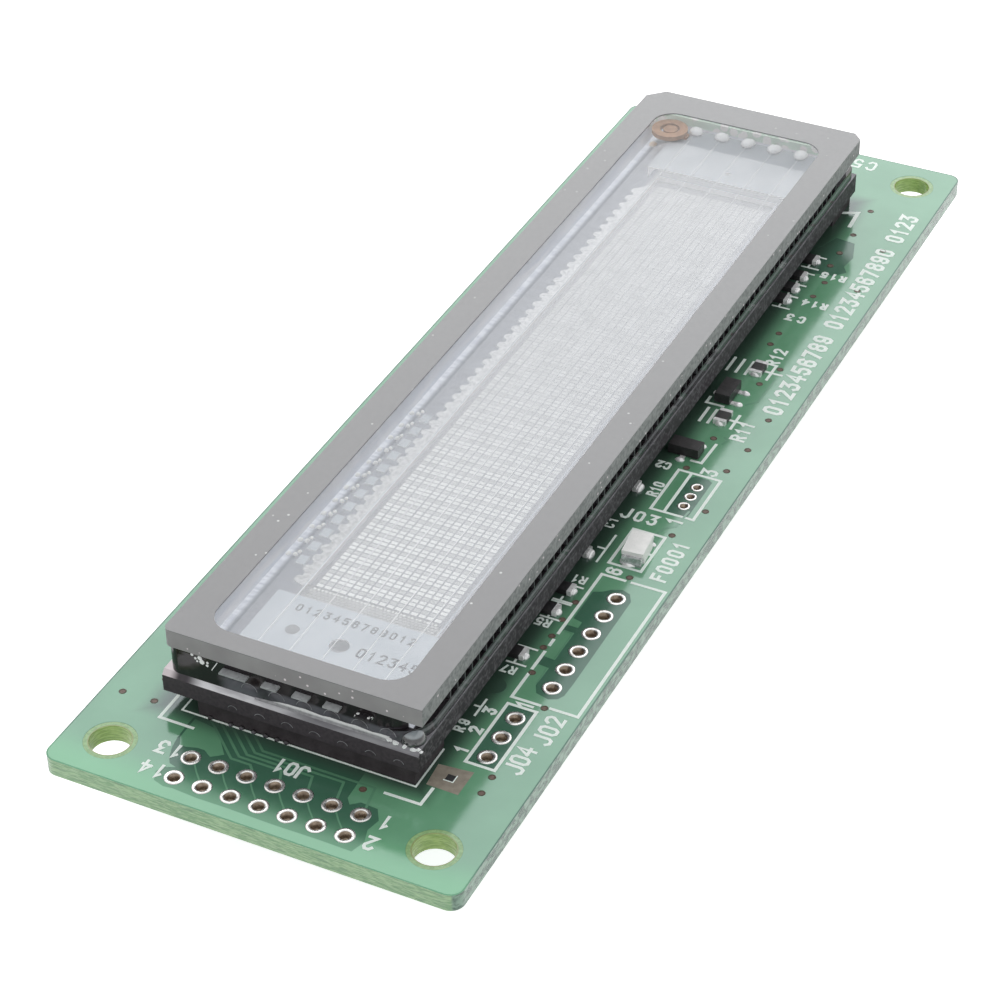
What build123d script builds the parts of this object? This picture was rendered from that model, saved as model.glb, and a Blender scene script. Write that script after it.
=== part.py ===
from build123d import *
import os

os.makedirs("parts", exist_ok=True)

# Display circuit board. Millimetres. The origin is the centre of the mounting hole pattern on the
# underside of the board, +X runs along the board away from the header end, +Z is the viewing side.

# Board
board_length = 116.0
board_width = 37.0
board_thickness = 1.6
board_corner_radius = 1.2
mount_hole_inset = 4.0
mount_hole_diameter = 3.5

# Plated holes for pins
pin_pitch = 2.54
pin_hole_diameter = 1.02
header_rows = 2
header_columns = 7
header_end_distance = 3.7
supply_hole_count = 6
supply_end_distance = 31.12
supply_edge_distance = 3.91
jumper_hole_count = 3
jumper_end_distance = 17.6
jumper_edge_distance = 4.99
plug_pitch = 1.5
plug_hole_count = 3
plug_hole_diameter = 0.7
plug_end_distance = 53.33
plug_edge_distance = 3.86

# Glass package
glass_length = 96.7
front_glass_width = 23.1
front_glass_thickness = 1.6
front_glass_offset = 0.8
border_thickness = 0.1
rear_glass_width = 23.15
rear_glass_thickness = 2.0
rear_glass_offset = 1.27
rear_bevel = 0.4
far_left_corner_cut = 1.6
far_right_corner_cut = 0.9
near_left_corner_radius = 0.6
window_near_margin = 1.9
window_far_margin = 3.75
window_side_margin = 2.7
window_corner_radius = 2.2
cushion_thickness = 1.5
cushion_end_inset = 0.12
cushion_left_inset = 3.1
cushion_right_inset = 0.45
cushion_notch_depth = 2.1
cushion_notch_start = 5.0

# Seal between the glasses
seal_height = 2.9
seal_near_inset = 0.35
seal_left_inset = 0.4
seal_right_inset = 0.1
seal_near_wall = 2.0
seal_far_wall = 1.1
seal_side_wall = 1.5
seal_corner_radius = 1.0
seal_bead_corner_radius = 3.0
seal_ledge_height = 1.15
seal_ledge_depth = 0.6
seal_inner_radius = 1.2
stub_pitch = 1.27
stub_width = 0.16
stub_count = 68
near_tab_pitch = 2.77
near_tab_count = 4
near_tab_width = 1.4
near_tab_reach = 0.7
near_tab_sheet = 0.15
near_tab_drop = 0.8
near_tab_start = 4.6
wide_tab_width = 2.4
wide_tab_gap = 3.3
corner_bead_radius = 1.05

# Inside the package
anode_plate_thickness = 0.8
anode_plate_gap = 0.05
dot_columns = 140
dot_rows_count = 16
dot_pitch_along = 0.51
dot_pitch_across = 0.74
dot_row_width = 0.58
dot_layer = 0.06
dot_field_offset = 0.75
field_drop = 0.15
printed_strip_width = 1.0
printed_strip_gap = 0.55
contact_pad_pitch = 2.04
contact_pad_count = 12
contact_pad_length = 1.15
contact_pad_width = 0.85
contact_pad_gap = 0.55
contact_pad_start = 3.1
grid_overhang_near = 1.75
grid_overhang_far = 1.15
grid_overhang_left = 0.43
grid_overhang_right = 0.7
grid_height = 0.5
grid_rail = 0.12
support_height = 1.1
support_sheet = 0.12
support_gap = 0.45
support_left_gap = 2.7
support_end_gap = 0.3
support_grid_gap = 0.55
support_hole_radius = 0.85
far_support_grid_gap = 0.3
far_hole_distance = 1.9
far_hole_radius = 0.3
filament_count = 5
filament_wall_gap = 4.545
filament_pitch = 2.86
filament_width = 0.14
clamp_width = 0.9
clamp_length = 1.1
clamp_height = 0.4
getter_radius = 1.85
getter_bore = 1.0
getter_thickness = 0.45
getter_lift = 0.25
getter_wall_gap = 0.3
getter_strap_width = 0.8
getter_strap_length = 1.0

# Leads on the long side away from the open holes
lead_pitch = 2.54
lead_count = 32
lead_width = 0.5
lead_sheet = 0.2
lead_reach = 1.9
lead_foot = 1.1

# Chips on the display side
fuse_length = 3.1
fuse_width = 1.95
fuse_height = 1.3
fuse_top_sheet = 0.4
fuse_cap_reach = 0.3
fuse_cap_tuck = 0.4
fuse_cap_width = 1.75
fuse_end_distance = 43.88
fuse_edge_distance = 4.76
fuse_turn = 5.5
chip_length = 2.0
chip_width = 1.2
chip_height = 0.5
chip_end_length = 0.4
edge_chip_gap = 1.245
edge_chip_stations = (27.4, 33.7, 36.7, 86.4, 88.6, 90.9, 94.2)
deep_chip_gap = 0.295
deep_chip_stations = (42.0, 52.5)
open_chip_distance = 5.78
open_chip_stations = (65.5, 74.2)
transistor_length = 2.9
transistor_width = 1.5
transistor_height = 1.1
transistor_foot_width = 0.45
transistor_foot_reach = 0.6
transistor_foot_sheet = 0.15
transistor_foot_tuck = 0.3
foot_spread = 0.95
transistor_edge_distance = 6.8
along_transistor_station = 69.1
across_transistor_station = 59.3

# Underside
underside_depth = 5.4
can_diameter = 6.3
can_base_side = 6.6
can_base_height = 0.9
can_base_cut = 1.3
can_top_edge = 0.35
can_foot_width = 0.8
can_foot_reach = 0.5
can_foot_sheet = 0.2
near_can_station = 14.5
near_can_spread = 15.0
near_can_offset = 3.0
far_can_station = 13.0
far_can_offset = 10.5
core_length = 11.0
core_width = 6.0
core_plate = 1.1
core_leg = 1.9
core_post = 3.2
coil_gap = 0.1
coil_overhang = 1.9
carrier_height = 0.8
carrier_overhang = 1.3
carrier_pin_count = 4
carrier_pin_pitch = 2.4
carrier_pin_width = 0.7
carrier_pin_sheet = 0.25
carrier_pin_reach = 0.9
converter_station = 24.0
converter_offset = 7.0
processor_side = 10.0
processor_height = 1.6
processor_lift = 0.15
processor_offset = 18.0
processor_leads_per_side = 11
processor_lead_pitch = 0.8
memory_length = 10.2
memory_width = 4.4
memory_height = 1.4
memory_offset = 4.0
memory_side_offset = 3.5
memory_leads_per_side = 8
chip_lead_width = 0.35
chip_lead_sheet = 0.2
chip_lead_reach = 1.1
chip_lead_rise = 0.7
resonator_length = 7.0
resonator_width = 3.0
resonator_height = 2.4
resonator_offset = 31.0
resonator_side_offset = 8.0
diode_length = 4.2
diode_width = 2.5
diode_height = 2.0
diode_end_length = 0.5
diode_end_height = 0.9
diode_offset = 18.0
diode_side_offset = 7.5
diode_spacing = 5.0
switch_length = 6.4
switch_width = 5.6
switch_height = 2.2
switch_tab_reach = 1.0
switch_tab_sheet = 0.5
switch_leg_width = 0.8
switch_leg_reach = 1.8
switch_leg_spread = 2.28
switch_offset = 22.0
switch_side_offset = 7.5
filter_chip_count = 5
filter_chip_pitch = 4.0
filter_chip_offset = 8.0
filter_chip_side_offset = 12.5

# Heights and edges that follow from the sizes above
near_end = -board_length / 2
far_end = board_length / 2
right_edge = -board_width / 2
board_top = board_thickness
cushion_top = board_top + cushion_thickness
rear_glass_top = cushion_top + rear_glass_thickness
seal_top = rear_glass_top + seal_height
front_glass_top = seal_top + front_glass_thickness
glass_near = -glass_length / 2
glass_far = glass_length / 2
rear_right = rear_glass_offset - rear_glass_width / 2
rear_left = rear_glass_offset + rear_glass_width / 2
pin_hole_radius = pin_hole_diameter / 2
mount_span_x = board_length - 2 * mount_hole_inset
mount_span_y = board_width - 2 * mount_hole_inset
header_x = near_end + header_end_distance
supply_x = near_end + supply_end_distance
supply_y = right_edge + supply_edge_distance
jumper_x = near_end + jumper_end_distance
jumper_y = right_edge + jumper_edge_distance
plug_x = near_end + plug_end_distance
plug_y = right_edge + plug_edge_distance

# circuit board with its corner holes and the four groups of pin holes
with BuildPart() as circuit_board:
    with BuildSketch(Plane.XY):
        RectangleRounded(board_length, board_width, board_corner_radius)
        with GridLocations(mount_span_x, mount_span_y, 2, 2):
            Circle(mount_hole_diameter / 2, mode=Mode.SUBTRACT)
        with Locations((header_x, 0)):
            with GridLocations(pin_pitch, pin_pitch, header_rows, header_columns):
                Circle(pin_hole_radius, mode=Mode.SUBTRACT)
        with Locations((supply_x, supply_y)):
            with GridLocations(pin_pitch, pin_pitch, supply_hole_count, 1):
                Circle(pin_hole_radius, mode=Mode.SUBTRACT)
        with Locations((jumper_x, jumper_y)):
            with GridLocations(pin_pitch, pin_pitch, jumper_hole_count, 1):
                Circle(pin_hole_radius, mode=Mode.SUBTRACT)
        with Locations((plug_x, plug_y)):
            with GridLocations(plug_pitch, plug_pitch, plug_hole_count, 1):
                Circle(plug_hole_diameter / 2, mode=Mode.SUBTRACT)
    extrude(amount=board_thickness)

# cushion under the glass, cut back on the right so that the chips tuck in below the glass
cushion_length = glass_length - 2 * cushion_end_inset
cushion_right = rear_right + cushion_right_inset
cushion_left = rear_left - cushion_left_inset
cushion_width = cushion_left - cushion_right
cushion_middle = (cushion_left + cushion_right) / 2
cushion_notch_edge = cushion_right + cushion_notch_depth
with BuildPart() as cushion_pad:
    with BuildSketch(Plane.XY.offset(board_top)):
        with Locations((0, cushion_middle)):
            Rectangle(cushion_length, cushion_width)
        with Locations((0, cushion_right)):
            Rectangle(cushion_length - 2 * cushion_notch_start, 2 * cushion_notch_depth, mode=Mode.SUBTRACT)
    extrude(amount=cushion_thickness)

# rear glass with its ground near edge
with BuildPart() as rear_glass:
    with BuildSketch(Plane.XY.offset(cushion_top)):
        with Locations((0, rear_glass_offset)):
            Rectangle(glass_length, rear_glass_width)
    extrude(amount=rear_glass_thickness)
    top_edges = rear_glass.faces().sort_by(Axis.Z)[-1].edges()
    chamfer(top_edges.sort_by(Axis.X)[0], rear_bevel)

# black seal frame with a ledge along its right side
seal_near = glass_near + seal_near_inset
seal_far = glass_far - seal_near_inset
seal_length = seal_far - seal_near
seal_right = rear_right + seal_right_inset
seal_left = rear_left - seal_left_inset
seal_upper_right = seal_right + seal_ledge_depth
hollow_near = seal_near + seal_near_wall
hollow_far = seal_far - seal_far_wall
hollow_right = seal_upper_right + seal_side_wall
hollow_left = seal_left - seal_side_wall
hollow_length = hollow_far - hollow_near
hollow_width = hollow_left - hollow_right
hollow_centre = ((hollow_near + hollow_far) / 2, (hollow_right + hollow_left) / 2)
seal_outlines = []
for outline_right in (seal_right, seal_upper_right):
    with BuildSketch() as seal_outline:
        with Locations((0, (outline_right + seal_left) / 2)):
            Rectangle(seal_length, seal_left - outline_right)
        bead_corner = seal_outline.vertices().group_by(Axis.X)[0].sort_by(Axis.Y)[0]
        fillet(bead_corner, seal_bead_corner_radius)
        plain_corners = seal_outline.vertices().group_by(Axis.Y)[-1]
        plain_corners += seal_outline.vertices().group_by(Axis.X)[-1].sort_by(Axis.Y)[:1]
        fillet(plain_corners, seal_corner_radius)
    seal_outlines.append(seal_outline.sketch)

with BuildPart() as seal_frame:
    with BuildSketch(Plane.XY.offset(rear_glass_top)):
        add(seal_outlines[0])
    extrude(amount=seal_ledge_height)
    with BuildSketch(Plane.XY.offset(rear_glass_top + seal_ledge_height)):
        add(seal_outlines[1])
    extrude(amount=seal_height - seal_ledge_height)
    with BuildSketch(Plane.XY.offset(rear_glass_top)):
        with Locations(hollow_centre):
            RectangleRounded(hollow_length, hollow_width, seal_inner_radius)
    extrude(amount=seal_height, mode=Mode.SUBTRACT)

# lead stubs that stand on the ledge
with BuildPart() as lead_stubs:
    with BuildSketch(Plane.XY.offset(rear_glass_top + seal_ledge_height)):
        with Locations((0, seal_right + seal_ledge_depth / 2)):
            with GridLocations(stub_pitch, stub_pitch, stub_count, 1):
                Rectangle(stub_width, seal_ledge_depth)
    extrude(amount=seal_height - seal_ledge_height)

# silver tabs that stick out of the near end of the seal, cut off the frame of the leads
near_tab_x = seal_near - near_tab_reach / 2
near_tabs_length = (near_tab_count - 1) * near_tab_pitch
near_tabs_middle = seal_right + near_tab_start + near_tabs_length / 2
last_near_tab = near_tabs_middle + near_tabs_length / 2
with BuildPart() as near_tabs:
    with BuildSketch(Plane.XY.offset(seal_top - near_tab_drop)):
        with Locations((near_tab_x, near_tabs_middle)):
            with GridLocations(near_tab_pitch, near_tab_pitch, 1, near_tab_count):
                Rectangle(near_tab_reach, near_tab_width)
        with Locations((near_tab_x, last_near_tab + wide_tab_gap)):
            Rectangle(near_tab_reach, wide_tab_width)
    extrude(amount=-near_tab_sheet)

# glassy bead in the near right corner, half sunk in the seal
with BuildPart() as corner_bead:
    with Locations((seal_near + corner_bead_radius, seal_right + corner_bead_radius, rear_glass_top)):
        Sphere(corner_bead_radius, arc_size1=0, align=(Align.CENTER, Align.CENTER, Align.MIN))
    add(seal_frame.part, mode=Mode.SUBTRACT)

# outline of the front glass, used by the glass and by the border printed on it
with BuildSketch() as front_outline:
    with Locations((0, front_glass_offset)):
        Rectangle(glass_length, front_glass_width)
    near_corners = front_outline.vertices().sort_by(Axis.X)[:2].sort_by(Axis.Y)
    fillet(near_corners[1], near_left_corner_radius)
    far_corners = front_outline.vertices().sort_by(Axis.X)[-2:].sort_by(Axis.Y)
    chamfer(far_corners[1], far_left_corner_cut)
    far_right_corner = front_outline.vertices().group_by(Axis.Y)[0].sort_by(Axis.X)[-1]
    chamfer(far_right_corner, far_right_corner_cut)

with BuildPart() as front_glass:
    with BuildSketch(Plane.XY.offset(seal_top)):
        add(front_outline.sketch)
    extrude(amount=front_glass_thickness)

# grey border with its rounded window
window_length = glass_length - window_near_margin - window_far_margin
window_width = front_glass_width - 2 * window_side_margin
window_x = (window_near_margin - window_far_margin) / 2
with BuildPart() as border_print:
    with BuildSketch(Plane.XY.offset(front_glass_top)):
        add(front_outline.sketch)
        with Locations((window_x, front_glass_offset)):
            RectangleRounded(window_length, window_width, window_corner_radius, mode=Mode.SUBTRACT)
    extrude(amount=border_thickness)

# pale plate on the floor of the hollow
anode_top = rear_glass_top + anode_plate_thickness
anode_length = hollow_length - 2 * anode_plate_gap
anode_width = hollow_width - 2 * anode_plate_gap
with BuildPart() as anode_plate:
    with BuildSketch(Plane.XY.offset(rear_glass_top)):
        with Locations(hollow_centre):
            RectangleRounded(anode_length, anode_width, seal_inner_radius)
    extrude(amount=anode_plate_thickness)

# dot rows
field_length = dot_columns * dot_pitch_along
field_width = dot_rows_count * dot_pitch_across
field_y = front_glass_offset - field_drop
with BuildPart() as dot_rows:
    with BuildSketch(Plane.XY.offset(anode_top)):
        with Locations((dot_field_offset, field_y)):
            with GridLocations(field_length, dot_pitch_across, 1, dot_rows_count):
                Rectangle(field_length, dot_row_width)
    extrude(amount=dot_layer)

# printed strip beside the dots
field_left = field_y + field_width / 2
strip_y = field_left + printed_strip_gap + printed_strip_width / 2
with BuildPart() as printed_strip:
    with BuildSketch(Plane.XY.offset(anode_top)):
        with Locations((dot_field_offset, strip_y)):
            Rectangle(field_length, printed_strip_width)
    extrude(amount=dot_layer)

# contact pads beyond the strip
pads_y = strip_y + printed_strip_width / 2 + contact_pad_gap + contact_pad_width / 2
pads_length = (contact_pad_count - 1) * contact_pad_pitch
pads_x = dot_field_offset - field_length / 2 + contact_pad_start + pads_length / 2
with BuildPart() as contact_pads:
    with BuildSketch(Plane.XY.offset(anode_top)):
        with Locations((pads_x, pads_y)):
            with GridLocations(contact_pad_pitch, contact_pad_pitch, contact_pad_count, 1):
                Rectangle(contact_pad_length, contact_pad_width)
    extrude(amount=dot_layer)

# rail that holds the grid mesh over the dots
grid_near = dot_field_offset - field_length / 2 - grid_overhang_near
grid_far = dot_field_offset + field_length / 2 + grid_overhang_far
grid_left = field_left + grid_overhang_left
grid_right = field_y - field_width / 2 - grid_overhang_right
grid_centre = ((grid_near + grid_far) / 2, (grid_left + grid_right) / 2)
grid_length = grid_far - grid_near
grid_width = grid_left - grid_right
with BuildPart() as grid_frame:
    with BuildSketch(Plane.XY.offset(anode_top)):
        with Locations(grid_centre):
            Rectangle(grid_length, grid_width)
            Rectangle(grid_length - 2 * grid_rail, grid_width - 2 * grid_rail, mode=Mode.SUBTRACT)
    extrude(amount=grid_height)

# sheet supports at the two ends, each a plate on two side walls
support_top = anode_top + support_height
support_right = hollow_right + support_gap
support_left = hollow_left - support_left_gap
support_width = support_left - support_right
support_y = (support_right + support_left) / 2
near_support_start = hollow_near + support_end_gap
near_support_end = grid_near - support_grid_gap
near_support_x = (near_support_start + near_support_end) / 2
near_support_length = near_support_end - near_support_start
wall_spread = support_width - support_sheet
with BuildPart() as near_support:
    with BuildSketch(Plane.XY.offset(anode_top)):
        with Locations((near_support_x, support_y)):
            with GridLocations(near_support_length, wall_spread, 1, 2):
                Rectangle(near_support_length, support_sheet)
    extrude(amount=support_height - support_sheet)
    with BuildSketch(Plane.XY.offset(support_top - support_sheet)):
        with Locations((near_support_x, support_y)):
            Rectangle(near_support_length, support_width)
        with Locations((near_support_x, support_y)):
            Circle(support_hole_radius, mode=Mode.SUBTRACT)
    extrude(amount=support_sheet)

far_support_start = grid_far + far_support_grid_gap
far_support_end = hollow_far - support_end_gap
far_support_x = (far_support_start + far_support_end) / 2
far_support_length = far_support_end - far_support_start
with BuildPart() as far_support:
    with BuildSketch(Plane.XY.offset(anode_top)):
        with Locations((far_support_x, support_y)):
            with GridLocations(far_support_length, wall_spread, 1, 2):
                Rectangle(far_support_length, support_sheet)
    extrude(amount=support_height - support_sheet)
    with BuildSketch(Plane.XY.offset(support_top - support_sheet)):
        with Locations((far_support_x, support_y)):
            Rectangle(far_support_length, support_width)
        with Locations((far_support_start + far_hole_distance, support_y)):
            Circle(far_hole_radius, mode=Mode.SUBTRACT)
    extrude(amount=support_sheet)

# filament clamps and the wires between them
filament_middle = hollow_left - filament_wall_gap - (filament_count - 1) / 2 * filament_pitch
near_clamp_x = near_support_start + clamp_length / 2
far_clamp_x = far_support_end - clamp_length / 2
with BuildPart() as near_clamps:
    with BuildSketch(Plane.XY.offset(support_top)):
        with Locations((near_clamp_x, filament_middle)):
            with GridLocations(filament_pitch, filament_pitch, 1, filament_count):
                Rectangle(clamp_length, clamp_width)
    extrude(amount=clamp_height)

with BuildPart() as far_clamps:
    with BuildSketch(Plane.XY.offset(support_top)):
        with Locations((far_clamp_x, filament_middle)):
            with GridLocations(filament_pitch, filament_pitch, 1, filament_count):
                Rectangle(clamp_length, clamp_width)
    extrude(amount=clamp_height)

wire_start = near_clamp_x + clamp_length / 2
wire_end = far_clamp_x - clamp_length / 2
with BuildPart() as filaments:
    with BuildSketch(Plane.YZ.offset(wire_start)):
        with Locations((filament_middle, support_top + filament_width / 2)):
            with GridLocations(filament_pitch, filament_pitch, filament_count, 1):
                Rectangle(filament_width, filament_width)
    extrude(amount=wire_end - wire_start)

# getter ring on a strap from the far support
getter_x = far_support_end - getter_radius
getter_y = hollow_left - getter_wall_gap - getter_radius
getter_bottom = support_top + getter_lift
strap_end = getter_y - getter_bore
strap_start = strap_end - getter_strap_length
with BuildPart() as getter_ring:
    with BuildSketch(Plane.XY.offset(getter_bottom)):
        with Locations((getter_x, getter_y)):
            Circle(getter_radius)
            Circle(getter_bore, mode=Mode.SUBTRACT)
    extrude(amount=getter_thickness)
    with BuildSketch(Plane.XY.offset(support_top)):
        with Locations((getter_x, (strap_start + strap_end) / 2)):
            Rectangle(getter_strap_width, strap_end - strap_start)
    extrude(amount=getter_lift)

# formed leads from the seal down to the board on the left side
lead_end = seal_left + lead_reach
lead_toe = lead_end + lead_foot
with BuildPart() as display_leads:
    for lead_index in range(lead_count):
        lead_x = (lead_index - (lead_count - 1) / 2) * lead_pitch
        with BuildSketch(Plane.YZ.offset(lead_x - lead_width / 2)):
            with BuildLine():
                Polyline(
                    (seal_left, rear_glass_top),
                    (seal_left, rear_glass_top + lead_sheet),
                    (lead_end, rear_glass_top + lead_sheet),
                    (lead_end, board_top + lead_sheet),
                    (lead_toe, board_top + lead_sheet),
                    (lead_toe, board_top),
                    (lead_end - lead_sheet, board_top),
                    (lead_end - lead_sheet, rear_glass_top),
                    close=True,
                )
            make_face()
        extrude(amount=lead_width)

# chip fuse, a little turned, whose ceramic top covers the metal at both ends
fuse_place = Location((near_end + fuse_end_distance, right_edge + fuse_edge_distance, 0), (0, 0, fuse_turn))
fuse_cap_height = fuse_height - fuse_top_sheet
fuse_cap_length = fuse_cap_reach + fuse_cap_tuck
with BuildPart() as fuse_body:
    with BuildSketch(Plane.XY.offset(board_top)):
        with Locations(fuse_place):
            Rectangle(fuse_length - 2 * fuse_cap_tuck, fuse_width)
    extrude(amount=fuse_cap_height)
    with BuildSketch(Plane.XY.offset(board_top + fuse_cap_height)):
        with Locations(fuse_place):
            Rectangle(fuse_length, fuse_width)
    extrude(amount=fuse_top_sheet)

with BuildPart() as fuse_caps:
    with BuildSketch(Plane.XY.offset(board_top)):
        with Locations(fuse_place):
            with GridLocations(fuse_length - 2 * fuse_cap_tuck + fuse_cap_length, fuse_width, 2, 1):
                Rectangle(fuse_cap_length, fuse_cap_width)
    extrude(amount=fuse_cap_height)

# small chips that stand across the board, then those that lie along it
chip_core_length = chip_length - 2 * chip_end_length
chip_end_spread = chip_length - chip_end_length
edge_chip_y = cushion_notch_edge - edge_chip_gap - chip_length / 2
deep_chip_y = cushion_notch_edge - deep_chip_gap - chip_length / 2
open_chip_y = right_edge + open_chip_distance
across_places = [(near_end + distance, edge_chip_y) for distance in edge_chip_stations]
across_places += [(near_end + distance, deep_chip_y) for distance in deep_chip_stations]
along_places = [(near_end + distance, open_chip_y) for distance in open_chip_stations]
with BuildPart() as chip_bodies:
    with BuildSketch(Plane.XY.offset(board_top)):
        with Locations(across_places):
            Rectangle(chip_width, chip_core_length)
        with Locations(along_places):
            Rectangle(chip_core_length, chip_width)
    extrude(amount=chip_height)

with BuildPart() as chip_ends:
    with BuildSketch(Plane.XY.offset(board_top)):
        with Locations(across_places):
            with GridLocations(chip_width, chip_end_spread, 1, 2):
                Rectangle(chip_width, chip_end_length)
        with Locations(along_places):
            with GridLocations(chip_end_spread, chip_width, 2, 1):
                Rectangle(chip_end_length, chip_width)
    extrude(amount=chip_height)

# two transistors on three feet each, one lying along the board and one across it
along_transistor = (near_end + along_transistor_station, right_edge + transistor_edge_distance)
across_transistor = (near_end + across_transistor_station, right_edge + transistor_edge_distance)
with BuildPart() as transistor_bodies:
    with BuildSketch(Plane.XY.offset(board_top + transistor_foot_sheet)):
        with Locations(along_transistor):
            Rectangle(transistor_length, transistor_width)
        with Locations(across_transistor):
            Rectangle(transistor_width, transistor_length)
    extrude(amount=transistor_height - transistor_foot_sheet)

foot_length = transistor_foot_reach + transistor_foot_tuck
foot_shift = transistor_width / 2 + transistor_foot_reach - foot_length / 2
with BuildPart() as transistor_feet:
    with BuildSketch(Plane.XY.offset(board_top)):
        with Locations(along_transistor):
            with Locations((0, foot_shift), (-foot_spread, -foot_shift), (foot_spread, -foot_shift)):
                Rectangle(transistor_foot_width, foot_length)
        with Locations(across_transistor):
            with Locations((-foot_shift, 0), (foot_shift, foot_spread), (foot_shift, -foot_spread)):
                Rectangle(foot_length, transistor_foot_width)
    extrude(amount=transistor_foot_sheet)

# can capacitors on the underside: two near the header end, one near the far end
near_can_x = near_end + near_can_station
far_can_place = (far_end - far_can_station, far_can_offset)
can_places = [
    (near_can_x, near_can_offset + near_can_spread / 2),
    (near_can_x, near_can_offset - near_can_spread / 2),
    far_can_place,
]
with BuildSketch() as can_base_outline:
    Rectangle(can_base_side, can_base_side)
    chamfer(can_base_outline.vertices().group_by(Axis.X)[-1], can_base_cut)

with BuildPart() as can_bases:
    with BuildSketch(Plane.XY.offset(-can_base_height)):
        with Locations(can_places):
            add(can_base_outline.sketch)
    extrude(amount=can_base_height)

with BuildPart() as cans:
    with BuildSketch(Plane.XY.offset(-underside_depth)):
        with Locations(can_places):
            Circle(can_diameter / 2)
    extrude(amount=underside_depth - can_base_height)
    chamfer(cans.edges().group_by(Axis.Z)[0], can_top_edge)

with BuildPart() as can_feet:
    with BuildSketch(Plane.XY.offset(-can_foot_sheet)):
        with Locations(can_places):
            with GridLocations(can_base_side + can_foot_reach, can_foot_width, 2, 1):
                Rectangle(can_foot_reach, can_foot_width)
    extrude(amount=can_foot_sheet)

# converter transformer: carrier on the board, core with two windows, coil round the middle post
converter_place = (far_end - converter_station, -converter_offset)
carrier_length = core_length + 2 * carrier_overhang
carrier_width = core_width + 2 * coil_overhang
with BuildPart() as converter_carrier:
    with BuildSketch(Plane.XY.offset(-carrier_height)):
        with Locations(converter_place):
            Rectangle(carrier_length, carrier_width)
    extrude(amount=carrier_height)

core_height = underside_depth - carrier_height
window_height = core_height - 2 * core_plate
core_middle = -carrier_height - core_height / 2
core_window_width = (core_length - core_post) / 2 - core_leg
core_window_shift = core_post / 2 + core_window_width / 2
with BuildPart() as converter_core:
    with BuildSketch(Plane.XZ.offset(-converter_place[1] - core_width / 2)):
        with Locations((converter_place[0], core_middle)):
            Rectangle(core_length, core_height)
            with GridLocations(2 * core_window_shift, window_height, 2, 1):
                Rectangle(core_window_width, window_height, mode=Mode.SUBTRACT)
    extrude(amount=core_width)

coil_bottom = -carrier_height - core_plate - window_height
with BuildPart() as converter_coil:
    with BuildSketch(Plane.XY.offset(coil_bottom)):
        with Locations(converter_place):
            RectangleRounded(
                core_post + 2 * core_window_width - 2 * coil_gap,
                core_width + 2 * coil_overhang - 2 * coil_gap,
                core_window_width / 2,
            )
            Rectangle(core_post + 2 * coil_gap, core_width + 2 * coil_gap, mode=Mode.SUBTRACT)
    extrude(amount=window_height)

with BuildPart() as converter_pins:
    with BuildSketch(Plane.XY.offset(-carrier_pin_sheet)):
        with Locations(converter_place):
            with GridLocations(carrier_length + carrier_pin_reach, carrier_pin_pitch, 2, carrier_pin_count):
                Rectangle(carrier_pin_reach, carrier_pin_width)
    extrude(amount=carrier_pin_sheet)

# processor flat pack with its leads: a riser against the body and a foot on the board
processor_place = (-processor_offset, 0)
riser_spread = processor_side + chip_lead_sheet
processor_foot_spread = processor_side + chip_lead_reach
with BuildPart() as processor_body:
    with BuildSketch(Plane.XY.offset(-processor_height)):
        with Locations(processor_place):
            Rectangle(processor_side, processor_side)
    extrude(amount=processor_height - processor_lift)
    chamfer(processor_body.faces().sort_by(Axis.Z)[0].edges(), processor_lift)

with BuildPart() as processor_leads:
    with BuildSketch(Plane.XY.offset(-chip_lead_sheet)):
        with Locations(processor_place):
            with GridLocations(processor_lead_pitch, processor_foot_spread, processor_leads_per_side, 2):
                Rectangle(chip_lead_width, chip_lead_reach)
            with GridLocations(processor_foot_spread, processor_lead_pitch, 2, processor_leads_per_side):
                Rectangle(chip_lead_reach, chip_lead_width)
    extrude(amount=chip_lead_sheet)
    with BuildSketch(Plane.XY.offset(-chip_lead_rise)):
        with Locations(processor_place):
            with GridLocations(processor_lead_pitch, riser_spread, processor_leads_per_side, 2):
                Rectangle(chip_lead_width, chip_lead_sheet)
            with GridLocations(riser_spread, processor_lead_pitch, 2, processor_leads_per_side):
                Rectangle(chip_lead_sheet, chip_lead_width)
    extrude(amount=chip_lead_rise)

# memory chip
memory_place = (memory_offset, memory_side_offset)
memory_riser_spread = memory_width + chip_lead_sheet
memory_foot_spread = memory_width + chip_lead_reach
with BuildPart() as memory_body:
    with BuildSketch(Plane.XY.offset(-memory_height)):
        with Locations(memory_place):
            Rectangle(memory_length, memory_width)
    extrude(amount=memory_height - processor_lift)
    chamfer(memory_body.faces().sort_by(Axis.Z)[0].edges(), processor_lift)

with BuildPart() as memory_leads:
    with BuildSketch(Plane.XY.offset(-chip_lead_sheet)):
        with Locations(memory_place):
            with GridLocations(stub_pitch, memory_foot_spread, memory_leads_per_side, 2):
                Rectangle(chip_lead_width, chip_lead_reach)
    extrude(amount=chip_lead_sheet)
    with BuildSketch(Plane.XY.offset(-chip_lead_rise)):
        with Locations(memory_place):
            with GridLocations(stub_pitch, memory_riser_spread, memory_leads_per_side, 2):
                Rectangle(chip_lead_width, chip_lead_sheet)
    extrude(amount=chip_lead_rise)

# resonator, a block with round ends
resonator_place = (-resonator_offset, resonator_side_offset)
with BuildPart() as resonator:
    with BuildSketch(Plane.XY.offset(-resonator_height)):
        with Locations(resonator_place):
            SlotOverall(resonator_length, resonator_width)
    extrude(amount=resonator_height)

# diodes with a metal strip at each end
with BuildPart() as diode_bodies:
    with BuildSketch(Plane.XY.offset(-diode_height)):
        with Locations((diode_offset, -diode_side_offset)):
            with GridLocations(diode_length, diode_spacing, 1, 2):
                Rectangle(diode_length, diode_width)
    extrude(amount=diode_height)

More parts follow.
